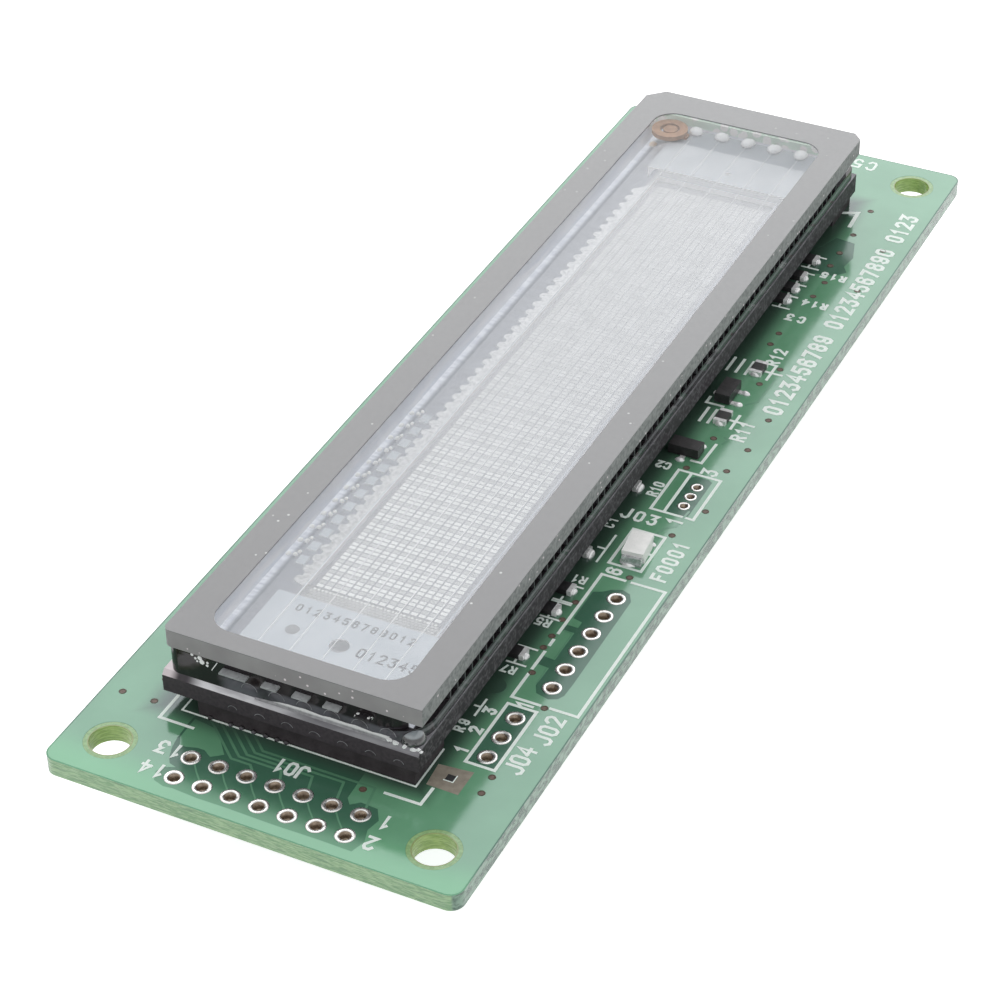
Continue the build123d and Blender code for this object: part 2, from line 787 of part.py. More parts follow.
with BuildPart() as diode_ends:
    with BuildSketch(Plane.XY.offset(-diode_end_height)):
        with Locations((diode_offset, -diode_side_offset)):
            with Locations((0, diode_spacing / 2), (0, -diode_spacing / 2)):
                with GridLocations(diode_length + diode_end_length, diode_spacing, 2, 1):
                    Rectangle(diode_end_length, diode_width - 2 * diode_end_length)
    extrude(amount=diode_end_height)

# switching transistor with a broad tab and two legs
switch_place = (switch_offset, switch_side_offset)
with BuildPart() as switch_body:
    with BuildSketch(Plane.XY.offset(-switch_height)):
        with Locations(switch_place):
            Rectangle(switch_length, switch_width)
    extrude(amount=switch_height)

with BuildPart() as switch_tabs:
    with BuildSketch(Plane.XY.offset(-switch_tab_sheet)):
        with Locations(switch_place):
            with Locations((0, switch_width / 2 + switch_tab_reach / 2)):
                Rectangle(switch_length - switch_leg_width, switch_tab_reach)
            with Locations((0, -switch_width / 2 - switch_leg_reach / 2)):
                with GridLocations(2 * switch_leg_spread, switch_leg_reach, 2, 1):
                    Rectangle(switch_leg_width, switch_leg_reach)
    extrude(amount=switch_tab_sheet)

# row of filter chips
filter_place = (-filter_chip_offset, filter_chip_side_offset)
with BuildPart() as filter_bodies:
    with BuildSketch(Plane.XY.offset(-chip_height)):
        with Locations(filter_place):
            with GridLocations(filter_chip_pitch, chip_width, filter_chip_count, 1):
                Rectangle(chip_core_length, chip_width)
    extrude(amount=chip_height)

with BuildPart() as filter_ends:
    with BuildSketch(Plane.XY.offset(-chip_height)):
        with Locations(filter_place):
            with Locations((-chip_end_spread / 2, 0), (chip_end_spread / 2, 0)):
                with GridLocations(filter_chip_pitch, chip_width, filter_chip_count, 1):
                    Rectangle(chip_end_length, chip_width)
    extrude(amount=chip_height)

circuit_board.part.label = "circuit_board"
cushion_pad.part.label = "cushion_pad"
rear_glass.part.label = "rear_glass"
seal_frame.part.label = "seal_frame"
lead_stubs.part.label = "lead_stubs"
near_tabs.part.label = "near_tabs"
corner_bead.part.label = "corner_bead"
front_glass.part.label = "front_glass"
border_print.part.label = "border_print"
anode_plate.part.label = "anode_plate"
dot_rows.part.label = "dot_rows"
printed_strip.part.label = "printed_strip"
contact_pads.part.label = "contact_pads"
grid_frame.part.label = "grid_frame"
near_support.part.label = "near_support"
far_support.part.label = "far_support"
near_clamps.part.label = "near_clamps"
far_clamps.part.label = "far_clamps"
filaments.part.label = "filaments"
getter_ring.part.label = "getter_ring"
display_leads.part.label = "display_leads"
fuse_body.part.label = "fuse_body"
fuse_caps.part.label = "fuse_caps"
chip_bodies.part.label = "chip_bodies"
chip_ends.part.label = "chip_ends"
transistor_bodies.part.label = "transistor_bodies"
transistor_feet.part.label = "transistor_feet"
can_bases.part.label = "can_bases"
cans.part.label = "cans"
can_feet.part.label = "can_feet"
converter_carrier.part.label = "converter_carrier"
converter_core.part.label = "converter_core"
converter_coil.part.label = "converter_coil"
converter_pins.part.label = "converter_pins"
processor_body.part.label = "processor_body"
processor_leads.part.label = "processor_leads"
memory_body.part.label = "memory_body"
memory_leads.part.label = "memory_leads"
resonator.part.label = "resonator"
diode_bodies.part.label = "diode_bodies"
diode_ends.part.label = "diode_ends"
switch_body.part.label = "switch_body"
switch_tabs.part.label = "switch_tabs"
filter_bodies.part.label = "filter_bodies"
filter_ends.part.label = "filter_ends"

export_step(circuit_board.part, "parts/circuit_board.step")
export_step(cushion_pad.part, "parts/cushion_pad.step")
export_step(rear_glass.part, "parts/rear_glass.step")
export_step(seal_frame.part, "parts/seal_frame.step")
export_step(lead_stubs.part, "parts/lead_stubs.step")
export_step(near_tabs.part, "parts/near_tabs.step")
export_step(corner_bead.part, "parts/corner_bead.step")
export_step(front_glass.part, "parts/front_glass.step")
export_step(border_print.part, "parts/border_print.step")
export_step(anode_plate.part, "parts/anode_plate.step")
export_step(dot_rows.part, "parts/dot_rows.step")
export_step(printed_strip.part, "parts/printed_strip.step")
export_step(contact_pads.part, "parts/contact_pads.step")
export_step(grid_frame.part, "parts/grid_frame.step")
export_step(near_support.part, "parts/near_support.step")
export_step(far_support.part, "parts/far_support.step")
export_step(near_clamps.part, "parts/near_clamps.step")
export_step(far_clamps.part, "parts/far_clamps.step")
export_step(filaments.part, "parts/filaments.step")
export_step(getter_ring.part, "parts/getter_ring.step")
export_step(display_leads.part, "parts/display_leads.step")
export_step(fuse_body.part, "parts/fuse_body.step")
export_step(fuse_caps.part, "parts/fuse_caps.step")
export_step(chip_bodies.part, "parts/chip_bodies.step")
export_step(chip_ends.part, "parts/chip_ends.step")
export_step(transistor_bodies.part, "parts/transistor_bodies.step")
export_step(transistor_feet.part, "parts/transistor_feet.step")
export_step(can_bases.part, "parts/can_bases.step")
export_step(cans.part, "parts/cans.step")
export_step(can_feet.part, "parts/can_feet.step")
export_step(converter_carrier.part, "parts/converter_carrier.step")
export_step(converter_core.part, "parts/converter_core.step")
export_step(converter_coil.part, "parts/converter_coil.step")
export_step(converter_pins.part, "parts/converter_pins.step")
export_step(processor_body.part, "parts/processor_body.step")
export_step(processor_leads.part, "parts/processor_leads.step")
export_step(memory_body.part, "parts/memory_body.step")
export_step(memory_leads.part, "parts/memory_leads.step")
export_step(resonator.part, "parts/resonator.step")
export_step(diode_bodies.part, "parts/diode_bodies.step")
export_step(diode_ends.part, "parts/diode_ends.step")
export_step(switch_body.part, "parts/switch_body.step")
export_step(switch_tabs.part, "parts/switch_tabs.step")
export_step(filter_bodies.part, "parts/filter_bodies.step")
export_step(filter_ends.part, "parts/filter_ends.step")
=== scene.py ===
import bpy
import bmesh
import itertools
import math
import random
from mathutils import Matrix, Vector


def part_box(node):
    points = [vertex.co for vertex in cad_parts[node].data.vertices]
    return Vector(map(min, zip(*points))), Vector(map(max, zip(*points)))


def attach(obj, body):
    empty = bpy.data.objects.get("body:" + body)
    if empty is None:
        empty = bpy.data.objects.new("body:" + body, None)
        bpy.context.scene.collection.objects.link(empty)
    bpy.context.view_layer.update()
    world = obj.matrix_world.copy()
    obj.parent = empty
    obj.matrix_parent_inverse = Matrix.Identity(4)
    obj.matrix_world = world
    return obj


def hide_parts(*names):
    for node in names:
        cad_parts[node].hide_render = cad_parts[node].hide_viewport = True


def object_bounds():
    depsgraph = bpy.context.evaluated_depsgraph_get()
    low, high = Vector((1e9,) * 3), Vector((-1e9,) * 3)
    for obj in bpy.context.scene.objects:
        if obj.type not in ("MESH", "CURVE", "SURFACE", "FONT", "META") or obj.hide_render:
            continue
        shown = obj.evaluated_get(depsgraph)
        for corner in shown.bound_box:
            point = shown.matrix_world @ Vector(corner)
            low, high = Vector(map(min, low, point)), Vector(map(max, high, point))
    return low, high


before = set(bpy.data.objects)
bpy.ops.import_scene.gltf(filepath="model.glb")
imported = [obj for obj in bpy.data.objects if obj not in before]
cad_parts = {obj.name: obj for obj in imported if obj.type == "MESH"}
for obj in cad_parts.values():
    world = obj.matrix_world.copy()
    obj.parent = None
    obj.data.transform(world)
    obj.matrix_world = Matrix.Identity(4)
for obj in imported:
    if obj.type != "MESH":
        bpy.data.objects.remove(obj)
cad_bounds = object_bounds()

# Places are in millimetres from the board's near right corner and its top face: along the board,
# across it and up. The model itself is in metres.
MM = 0.001
board_low, board_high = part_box("circuit_board")
board_length, board_width, board_thickness = [(high - low) / MM for low, high in zip(board_low, board_high)]
chance = random.Random(7)


def at(along, across, up=0.0):
    """A point of the model from its place on the board."""
    return Vector((board_low.x + along * MM, board_low.y + across * MM, board_high.z + up * MM))


def place_of(point):
    """The place on the board of a point of the model."""
    return (point.x - board_low.x) / MM, (point.y - board_low.y) / MM, (point.z - board_high.z) / MM


def box_of(node):
    """The low and the high corner of a CAD node's box, as places on the board."""
    return [place_of(point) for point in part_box(node)]


def display(red, green, blue):
    """A colour given as it looks on a screen, 0 to 255, as the linear colour that a shader takes."""
    def channel(value):
        part = value / 255
        return part / 12.92 if part <= 0.04045 else ((part + 0.055) / 1.055) ** 2.4
    return channel(red), channel(green), channel(blue), 1.0


# Finishes
class Finish:
    """A node material with one Principled shader, and short ways to add the nodes that shape it.

    Colours are tuples of three screen values or come from other nodes."""

    def __init__(self, name, roughness=0.5, metallic=0.0, coat=0.0, ior=1.5):
        self.material = bpy.data.materials.new(name)
        self.material.use_nodes = True
        self.tree = self.material.node_tree
        self.shader = self.tree.nodes["Principled BSDF"]
        for socket, value in (("Roughness", roughness), ("Metallic", metallic), ("Coat Weight", coat),
                              ("Coat Roughness", 0.08), ("IOR", ior)):
            self.shader.inputs[socket].default_value = value
        where = self.node("TexCoord").outputs
        self.place, self.facing = where["Object"], where["Normal"]

    def link(self, source, socket):
        """Feeds a socket with another socket's value, a number, a vector or a colour."""
        if isinstance(source, bpy.types.NodeSocket):
            self.tree.links.new(source, socket)
        else:
            socket.default_value = source

    def node(self, kind, *values, operation=None, **inputs):
        """Adds a node and feeds its inputs, in order or by name with underscores for blanks."""
        made = self.tree.nodes.new("ShaderNode" + kind)
        if operation:
            made.operation = operation
        for socket, value in zip(made.inputs, values):
            self.link(value, socket)
        for name, value in inputs.items():
            self.link(value, made.inputs[name.replace("_", " ")])
        return made

    def noise(self, size, detail=3.0, warp=0.0, stretch=None):
        """Soft noise whose features are about size millimetres across, divided by any stretch."""
        where = self.node("Mapping", Vector=self.place, Scale=stretch).outputs[0] if stretch else self.place
        return self.node("TexNoise", Vector=where, Scale=1 / (size * MM), Detail=detail,
                         Distortion=warp).outputs["Fac"]

    def cells(self, size):
        """Distance to the middle of cells about size millimetres apart."""
        return self.node("TexVoronoi", Vector=self.place, Scale=1 / (size * MM)).outputs["Distance"]

    def math(self, operation, *values):
        return self.node("Math", *values, operation=operation).outputs[0]

    def product(self, share, *others):
        for other in others:
            share = self.math("MULTIPLY", share, other)
        return share

    def vector(self, operation, *values):
        made = self.node("VectorMath", *values, operation=operation)
        return made.outputs["Value" if operation == "LENGTH" else "Vector"]

    def part(self, vector, axis):
        """One coordinate of a vector."""
        return self.node("SeparateXYZ", vector).outputs[axis]

    def tilt(self, axis):
        """How squarely the surface faces along an axis, either way."""
        return self.math("ABSOLUTE", self.part(self.facing, axis))

    def beyond(self, node, margin=0.0):
        """How far a point lies in plan beyond a CAD node's box less a margin, in metres."""
        low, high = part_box(node)
        half = (high - low) / 2 - Vector((margin, margin, 0.0))
        away = self.vector("ABSOLUTE", self.vector("SUBTRACT", self.place, (low + high) / 2))
        out = self.vector("SUBTRACT", away, half)
        return self.math("MAXIMUM", self.part(out, 0), self.part(out, 1))

    def span(self, value, start=0.35, end=0.65, first=0.0, last=1.0):
        """Maps the stretch from start to end smoothly to first to last, and clamps outside it.

        The stretch that is taken if none is given suits noise."""
        made = self.node("MapRange", Value=value, From_Min=start, From_Max=end, To_Min=first, To_Max=last)
        made.interpolation_type = "SMOOTHSTEP"
        return made.outputs["Result"]

    def along(self, start, end, *shares, axis=0):
        """Spans a stretch of the board in millimetres, along its length or another axis."""
        low, high = [at(0, 0)[axis] + place * MM for place in (start, end)]
        return self.span(self.part(self.place, axis), low, high, *shares)

    def across(self, *stretch):
        return self.along(*stretch, axis=1)

    def height(self, *stretch):
        return self.along(*stretch, axis=2)

    def mix(self, share, first, second):
        """Blends two colours by a share from 0 to 1."""
        made = self.node("Mix", Factor=share)
        made.data_type = "RGBA"
        for socket, colour in zip(made.inputs[6:8], (first, second)):
            self.link(display(*colour) if isinstance(colour, tuple) else colour, socket)
        return made.outputs[2]

    def colour(self, source):
        self.link(source, self.shader.inputs["Base Color"])
        return self

    def tint(self, share, colour):
        """Blends the colour so far with another by a share."""
        return self.colour(self.mix(share, self.shader.inputs["Base Color"].links[0].from_socket, colour))

    def rough(self, pattern, low, high):
        """Lets the roughness drift between two values with a pattern."""
        self.link(self.span(pattern, 0.3, 0.7, low, high), self.shader.inputs["Roughness"])

    def bump(self, height, depth):
        """Raises the surface by height times depth millimetres."""
        normal = self.shader.inputs["Normal"]
        made = self.node("Bump", Strength=1.0, Distance=depth * MM, Height=height)
        if normal.is_linked:
            self.link(normal.links[0].from_socket, made.inputs["Normal"])
        self.link(made.outputs["Normal"], normal)

    def blend(self, share, shader):
        """Sends the surface's shader, blended with another by a share, to the output."""
        both = self.node("MixShader", share, self.shader.outputs[0], shader)
        self.link(both.outputs[0], self.tree.nodes["Material Output"].inputs["Surface"])
        return self.material


def plain_finish(name, dark, light, patch=2.0, grain=0.15, depth=0.01, roughness=0.5, spread=0.1,
                 **settings):
    """A finish that drifts between two colours in patches, with a fine grain in its gloss and height."""
    look = Finish(name, roughness=roughness, **settings)
    look.colour(look.mix(look.span(look.noise(patch), 0.3, 0.7), dark, light))
    fine = look.noise(grain, detail=4.0)
    look.rough(fine, roughness - spread, roughness + spread)
    look.bump(fine, depth)
    return look


def plain(*choices, **settings):
    return plain_finish(*choices, **settings).material


def green_mask(name, dark, light, gloss, roughness):
    """Green solder mask on glass cloth, with painted shade by the display. Copper under it makes it
    glossier.
    """
    look = Finish(name, ior=gloss)
    look.shader.inputs["Specular Tint"].default_value = (0.85, 0.95, 1.0, 1.0)
    drift = look.span(look.noise(9.0), 0.3, 0.7)
    weave = look.noise(0.5, stretch=(1.0, 0.5, 1.0))
    tone = look.mix(look.math("MULTIPLY_ADD", weave, 0.12, look.product(drift, 0.88)), dark, light)
    tone = look.mix(look.along(0.8, 4.5, 0.3, 0.0), tone, (112, 214, 140))
    # Painted shade: the top face darkens towards the display, for its shadow and its dark reflection in the
    # mask.
    shade = look.span(look.beyond("rear_glass"), -0.2 * MM, 2.2 * MM)
    under = look.span(look.part(look.facing, 2), -0.1, 0.1, 1.0, 0.0)
    look.colour(look.mix(look.math("MAXIMUM", shade, under), (58, 80, 68), tone))
    look.rough(look.noise(0.7), roughness - 0.02, roughness + 0.03)
    look.bump(weave, 0.0009)
    return look


mount_inset = 4.0
mount_radius = 1.75
mount_land_radius = 2.2


def board_finish():
    """Solder mask on both faces, layered glass cloth on the edges, bare rims round the mounting holes."""
    look = green_mask("board_green", (60, 104, 82), (72, 116, 94), 1.5, 0.15)
    strands = look.noise(0.16, detail=5.0, stretch=(0.2, 0.2, 1.4))
    layers = look.noise(0.12, detail=2.0, stretch=(0.06, 0.06, 1.0))
    thread = look.span(strands)
    near_edge = look.mix(thread, (136, 178, 132), (176, 210, 162))
    near_edge = look.mix(look.span(layers, 0.56, 0.68, 0.0, 0.6), near_edge, (104, 138, 112))
    mottle = look.noise(0.5, detail=5.0, stretch=(0.6, 0.6, 1.0))
    right_edge = look.mix(look.span(mottle, 0.4, 0.6), (84, 112, 96), (140, 172, 150))
    edge = look.mix(look.span(look.tilt(1), 0.4, 0.6), near_edge, right_edge)
    upright = look.span(look.tilt(2), 0.45, 0.55, 1.0, 0.0)
    look.tint(upright, edge)
    middle = Vector(((board_low.x + board_high.x) / 2, (board_low.y + board_high.y) / 2, 0.0))
    folded = look.vector("ABSOLUTE", look.vector("SUBTRACT", look.place, middle))
    mount = ((board_length / 2 - mount_inset) * MM, (board_width / 2 - mount_inset) * MM, 0.0)
    flat = look.vector("MULTIPLY", look.vector("SUBTRACT", folded, mount), (1.0, 1.0, 0.0))
    reach = look.vector("LENGTH", flat)
    rim = look.mix(look.span(look.noise(0.3)), (132, 168, 112), (150, 186, 128))
    lip = look.span(reach, mount_radius * MM, (mount_radius + 0.16) * MM)
    wall = look.mix(thread, (152, 184, 98), (190, 216, 134))
    ring = look.mix(upright, look.mix(lip, (146, 150, 96), rim), wall)
    land = look.span(reach, (mount_land_radius - 0.04) * MM, (mount_land_radius + 0.04) * MM, 1.0, 0.0)
    look.tint(land, ring)
    look.bump(look.product(strands, look.span(look.tilt(2), 0.4, 0.6, 1.0, 0.0)), 0.05)
    return look.material


def glass_finish():
    """The front glass: clear in its window's faces, milky grey with tiny chips on its ground edges.

    The clear part lets light straight through and keeps a gloss."""
    look = Finish("front_glass_clear", ior=1.3)
    ground = look.mix(look.span(look.noise(4.0), 0.3, 0.7), (146, 144, 146), (158, 157, 158))
    mottle = look.mix(look.span(look.noise(0.35)), (124, 127, 127), (152, 155, 155))
    ground = look.mix(look.tilt(1), ground, mottle)
    specks = look.span(look.cells(0.9), 0.1, 0.14, 1.0, 0.0)
    look.colour(look.mix(look.product(specks, 0.9), ground, (246, 236, 240)))
    look.bump(look.noise(0.4), 0.006)
    look.link(look.math("MULTIPLY_ADD", specks, 0.3, 0.6), look.shader.inputs["Roughness"])
    slant = look.node("LayerWeight").outputs["Facing"]
    shine = look.math("MULTIPLY_ADD", look.math("POWER", slant, 5.0), 0.95, 0.04)
    through = look.node("BsdfTransparent").outputs[0]
    gloss = look.node("BsdfGlossy", Roughness=0.05).outputs[0]
    pane = look.node("MixShader", shine, through, gloss).outputs[0]
    return look.blend(look.span(look.tilt(2), 0.4, 0.6), pane)


def lets_light_by(look, where=1.0):
    """Lets light past a thin part where the share is 1, so that what is behind it is lit evenly."""
    rays = look.node("LightPath").outputs
    passing = look.math("MAXIMUM", rays["Is Shadow Ray"], rays["Is Diffuse Ray"])
    return look.blend(look.product(passing, where), look.node("BsdfTransparent").outputs[0])


def border_finish():
    """Smooth grey print round the window, a little lighter far away, with tiny pale specks of dust."""
    look = Finish("border_grey", roughness=0.4, coat=0.2)
    along = look.along(0.0, board_length)
    drift = look.math("MULTIPLY_ADD", look.noise(14.0), 0.4, look.product(along, 0.6))
    film = look.mix(drift, (130, 130, 132), (142, 143, 145))
    specks = look.span(look.cells(1.6), 0.06, 0.085, 1.0, 0.0)
    specks = look.product(specks, look.math("MULTIPLY_ADD", along, -0.6, 0.75))
    look.colour(look.mix(specks, film, (232, 234, 234)))
    look.rough(look.noise(0.4), 0.36, 0.44)
    look.bump(look.noise(0.15), 0.002)
    return lets_light_by(look)


def seal_finish():
    """Glossy black seal. Its inner walls are painted hazy white as painted light, its long sides greyer with
    a painted highlight low down.

    The left and far walls let light past, since the hollow of the real package is lit through the glass."""
    look = Finish("seal_black", ior=1.4)
    smear = look.noise(2.2, detail=4.0, warp=0.8)
    black = look.mix(look.span(smear, 0.5, 0.8), (36, 32, 35), (56, 53, 56))
    near_face = look.span(look.part(look.facing, 0), -0.9, -0.6, 1.0, 0.0)
    # Painted reflection: grey patches low on the near face, for what the glossy face reflects there.
    foot = look.product(look.height(4.5, 4.9, 1.0, 0.0), look.across(25.2, 26.4, 1.0, 0.0), near_face)
    patches = look.span(look.noise(2.5), 0.35, 0.6, 0.3, 0.9)
    outside = look.mix(look.product(foot, patches), black, (104, 103, 111))
    # Painted highlight: a pale line low on the long sides, along the ledge's edge.
    line = look.product(look.height(3.95, 4.1), look.height(4.3, 4.45, 1.0, 0.0))
    long_side = look.span(look.tilt(1), 0.6, 0.9)
    outside = look.mix(long_side, outside, look.mix(line, (66, 66, 69), (118, 118, 122)))
    # Painted light: the inner walls are painted near white, for the light that reaches them through the
    # glass.
    streaks = look.span(look.noise(2.0, stretch=(0.3, 0.3, 2.0)))
    painted_wall_light = look.mix(streaks, (236, 240, 248), (250, 251, 254))
    # Painted light: the top of the far wall is painted pale green and white, for the lit board seen through
    # the glass.
    rim = look.mix(look.span(look.cells(1.2), 0.35, 0.5), (255, 255, 255), (222, 240, 229))
    far_wall = look.along(102.0, 103.0)
    lit = look.math("MAXIMUM", look.across(28.0, 28.5), far_wall)
    outer, skin = [look.span(look.beyond("seal_frame", margin * MM), -0.05 * MM, 0.05 * MM)
                   for margin in (1.0, 0.4)]
    outer = look.math("MINIMUM", outer, look.math("MAXIMUM", skin, look.math("SUBTRACT", 1.0, lit)))
    # Where the far wall's top takes that painted light.
    top = look.product(far_wall, look.height(5.4, 5.6))
    look.colour(look.mix(outer, look.mix(top, painted_wall_light, rim), outside))
    look.rough(smear, 0.06, 0.16)
    look.bump(look.noise(1.8, warp=0.6), 0.015)
    return lets_light_by(look, lit)


def rear_glass_finish():
    """Dark rear glass with rough ground sides, a pale bevel toned with painted light and a thin painted
    highlight along its upper edge.
    """
    look = Finish("rear_glass_dark", ior=1.25)
    fine = look.noise(0.3, detail=5.0)
    near = look.mix(look.span(fine), (66, 61, 66), (76, 71, 75))
    right = look.mix(look.span(fine, 0.4, 0.7), (50, 47, 51), (104, 102, 106))
    body = look.mix(look.tilt(1), near, right)
    top = box_of("rear_glass")[1][2]
    # Painted highlight: a thin pale line just under the top edge.
    body = look.mix(look.height(top - 0.16, top - 0.1, 0.0, 0.5), body, (104, 104, 108))
    streaks = look.span(look.noise(1.2, stretch=(1.0, 0.3, 2.0)))
    pale = look.mix(streaks, (196, 195, 200), (238, 238, 242))
    soft = look.mix(streaks, (132, 131, 136), (160, 160, 164))
    # The pale ground bevel is toned with painted light: duller on the right, painted shadow towards the
    # left, painted highlight on the left corner.
    pale = look.mix(look.across(18.0, 22.0), soft, pale)
    pale = look.mix(look.across(27.4, 29.2), pale, (76, 72, 76))
    pale = look.mix(look.across(29.8, 30.8), pale, (226, 216, 220))
    look.colour(look.mix(look.span(look.tilt(2), 0.3, 0.5), body, pale))
    look.rough(fine, 0.45, 0.7)
    look.bump(fine, 0.012)
    return look.material


def cushion_finish():
    """Soft black foam rubber with pin holes along its skin."""
    look = Finish("cushion_black", ior=1.25)
    look.colour(look.mix(look.span(look.noise(1.2), 0.3, 0.7), (56, 51, 54), (68, 63, 66)))
    look.rough(look.noise(0.4), 0.4, 0.6)
    look.bump(look.span(look.cells(0.35), 0.05, 0.16), 0.03)
    return look.material


def torn_silver():
    """Silver tabs. The last one is torn, dark with a few bright flakes."""
    look = plain_finish("silver_sheet", (150, 153, 155), (170, 173, 175), patch=0.8, grain=0.3, depth=0.004,
                        roughness=0.35)
    flakes = look.span(look.cells(0.42), 0.28, 0.34, 1.0, 0.0)
    torn = look.mix(flakes, (44, 42, 45), (246, 248, 248))
    return look.tint(look.across(14.0, 14.1, 1.0, 0.0), torn).material


def fillet_finish():
    """A thin ragged fillet of glass, dull at its foot, with a painted highlight along its top."""
    look = plain_finish("fillet_grey", (136, 136, 140), (164, 164, 168), patch=0.5, grain=0.2, depth=0.004,
                        roughness=0.3)
    # Painted highlight along the top of the fillet.
    return look.tint(look.height(3.66, 3.86), (232, 232, 234)).material


def bead_finish():
    """A glassy bead, dark round its foot, with a painted pale reflection where it faces up."""
    look = plain_finish("bead_grey", (44, 44, 46), (70, 70, 74), patch=0.8, grain=0.3, roughness=0.12,
                        spread=0.05, coat=1.0)
    # Painted reflection on the faces that look up.
    return look.tint(look.span(look.part(look.facing, 2), 0.55, 0.7), (150, 158, 162)).material


display_near, display_far = 18.0, 75.0


def floor_finish():
    """The floor inside the display: grey under the dots, paler and bluer along the left wall."""
    look = Finish("anode_floor", roughness=0.4)
    tone = look.mix(look.along(display_near, display_far), (150, 154, 162), (164, 168, 174))
    smear = look.span(look.noise(1.4, stretch=(6.0, 1.0, 1.0)))
    pads = look.mix(smear, (138, 144, 155), (150, 156, 167))
    wall = look.mix(smear, (206, 212, 224), (234, 239, 248))
    pads = look.mix(look.across(28.5, 29.1), pads, wall)
    look.colour(look.mix(look.across(26.0, 26.3), tone, pads))
    look.rough(look.noise(0.6), 0.35, 0.5)
    return look.material


def inner(name, near, far, patch=0.5, spread=0.3):
    """A smooth pale finish inside the display, whose tone drifts from the near end to the far end, with
    sides painted near white as painted light.
    """
    look = Finish(name, roughness=0.4)
    tone = look.mix(look.along(display_near, display_far), near, far)
    paler = look.span(look.noise(patch), 0.35, 0.65, 0.0, spread)
    tone = look.mix(paler, tone, (244, 246, 250))
    # Painted light: faces that don't face up are painted near white, so no shade shows on the sides.
    look.colour(look.mix(look.span(look.tilt(2), 0.3, 0.5), (250, 251, 253), tone))
    look.rough(look.noise(0.6), 0.35, 0.5)
    return lets_light_by(look)


green = board_finish()
copper_green = green_mask("copper_under_mask", (98, 154, 118), (112, 168, 132), 1.7, 0.11).material
trace_green = green_mask("trace_under_mask", (92, 144, 112), (104, 156, 124), 1.7, 0.13).material
gap_green = green_mask("gap_under_mask", (64, 98, 80), (74, 108, 92), 1.45, 0.2).material
seal_black = seal_finish()

# Plain finishes: the two colours, patch, grain and depth in millimetres, and roughness
ink = plain("print_white", (236, 250, 243), (248, 255, 251), 0.8, 0.08, 0.003)
tin = plain("tin_bright", (214, 212, 210), (246, 245, 244), 0.6, 0.3, 0.006, 0.24, spread=0.06,
            metallic=0.85)
# Solder: its bright tin colour raised to near white with little metal, partly a painted highlight for its
# glints.
solder = plain("solder_bright", (236, 236, 238), (255, 255, 255), 0.5, 0.4, 0.003, 0.2, metallic=0.3)
fuse_silver = plain("fuse_silver", (176, 178, 180), (214, 216, 218), 0.5, 0.3, 0.004, 0.25, metallic=0.6)
barrel = plain("plated_barrel", (132, 116, 100), (172, 156, 138), 0.3, 0.12, 0.01, 0.35, metallic=0.6)
getter = plain("getter_metal", (170, 132, 106), (194, 156, 128), 0.5, 0.15, 0.02, 0.4, metallic=0.4)
lead_metal = plain("lead_metal", (104, 102, 104), (128, 126, 128), 0.6, 0.2, 0.006, 0.4, metallic=0.3)
stub_grey = plain("stub_grey", (50, 50, 53), (72, 72, 76), 0.6, 0.2, 0.006, 0.4)
ceramic = plain("fuse_ceramic", (242, 243, 241), (252, 252, 250), 0.8, 0.12, 0.006, 0.35)
brown = plain("bare_brown", (134, 126, 114), (152, 144, 130), 0.7, 0.1)
via_ring = plain("via_ring", (66, 60, 46), (88, 80, 62), 0.3, 0.1)
via_pit = plain("via_pit", (92, 74, 64), (118, 96, 84), 0.2, 0.08)
chip_black = plain("chip_black", (34, 33, 35), (48, 46, 48), 0.6, 0.08, 0.01, 0.4)
can_metal = plain("can_metal", (178, 180, 182), (206, 208, 210), 3.0, 0.1, 0.004, 0.25, metallic=1.0)
base_black = plain("base_black", (30, 30, 32), (42, 42, 44), 1.0, 0.1)
ferrite = plain("ferrite", (58, 58, 60), (76, 76, 78), 1.5, 0.1, 0.015, 0.55)
coil_tape = plain("coil_tape", (196, 150, 60), (218, 176, 84), 2.0, 0.2, 0.02, 0.35)
amber = plain("resonator_amber", (186, 112, 40), (206, 134, 56), 1.0, 0.2, 0.01, 0.3, coat=0.5)
tan = plain("chip_tan", (160, 128, 92), (180, 148, 110), 0.6, 0.08)
arc_grey = plain("arc_grey", (118, 118, 122), (150, 150, 155), 0.5, 0.2, 0.002)

# Finishes inside the display: near and far colour, patch and how far patches are paler
phosphor = inner("phosphor_pale", (217, 221, 222), (177, 181, 185), 2.0, 0.14)
phosphor_dim = inner("phosphor_dim", (182, 186, 189), (174, 178, 182), 2.0, 0.14)
strip_pale = inner("strip_pale", (170, 174, 178), (186, 190, 195), 0.35, 0.35)
inner_sheet = inner("inner_sheet", (176, 185, 194), (156, 164, 172), 3.0, 0.1)
mesh_grey = inner("mesh_grey", (138, 142, 148), (150, 154, 160), 0.5, 0.1)
wire = inner("filament_wire", (246, 248, 252), (176, 181, 187))
lump_white = inner("lump_white", (248, 250, 250), (230, 234, 236), 0.5, 0.5)
lump_cream = inner("lump_cream", (222, 202, 178), (222, 202, 178))
mark_grey = inner("mark_grey", (104, 110, 119), (104, 110, 119), 0.5, 0.05)
disc_grey = inner("disc_grey", (132, 137, 144), (132, 137, 144), 0.5, 0.05)

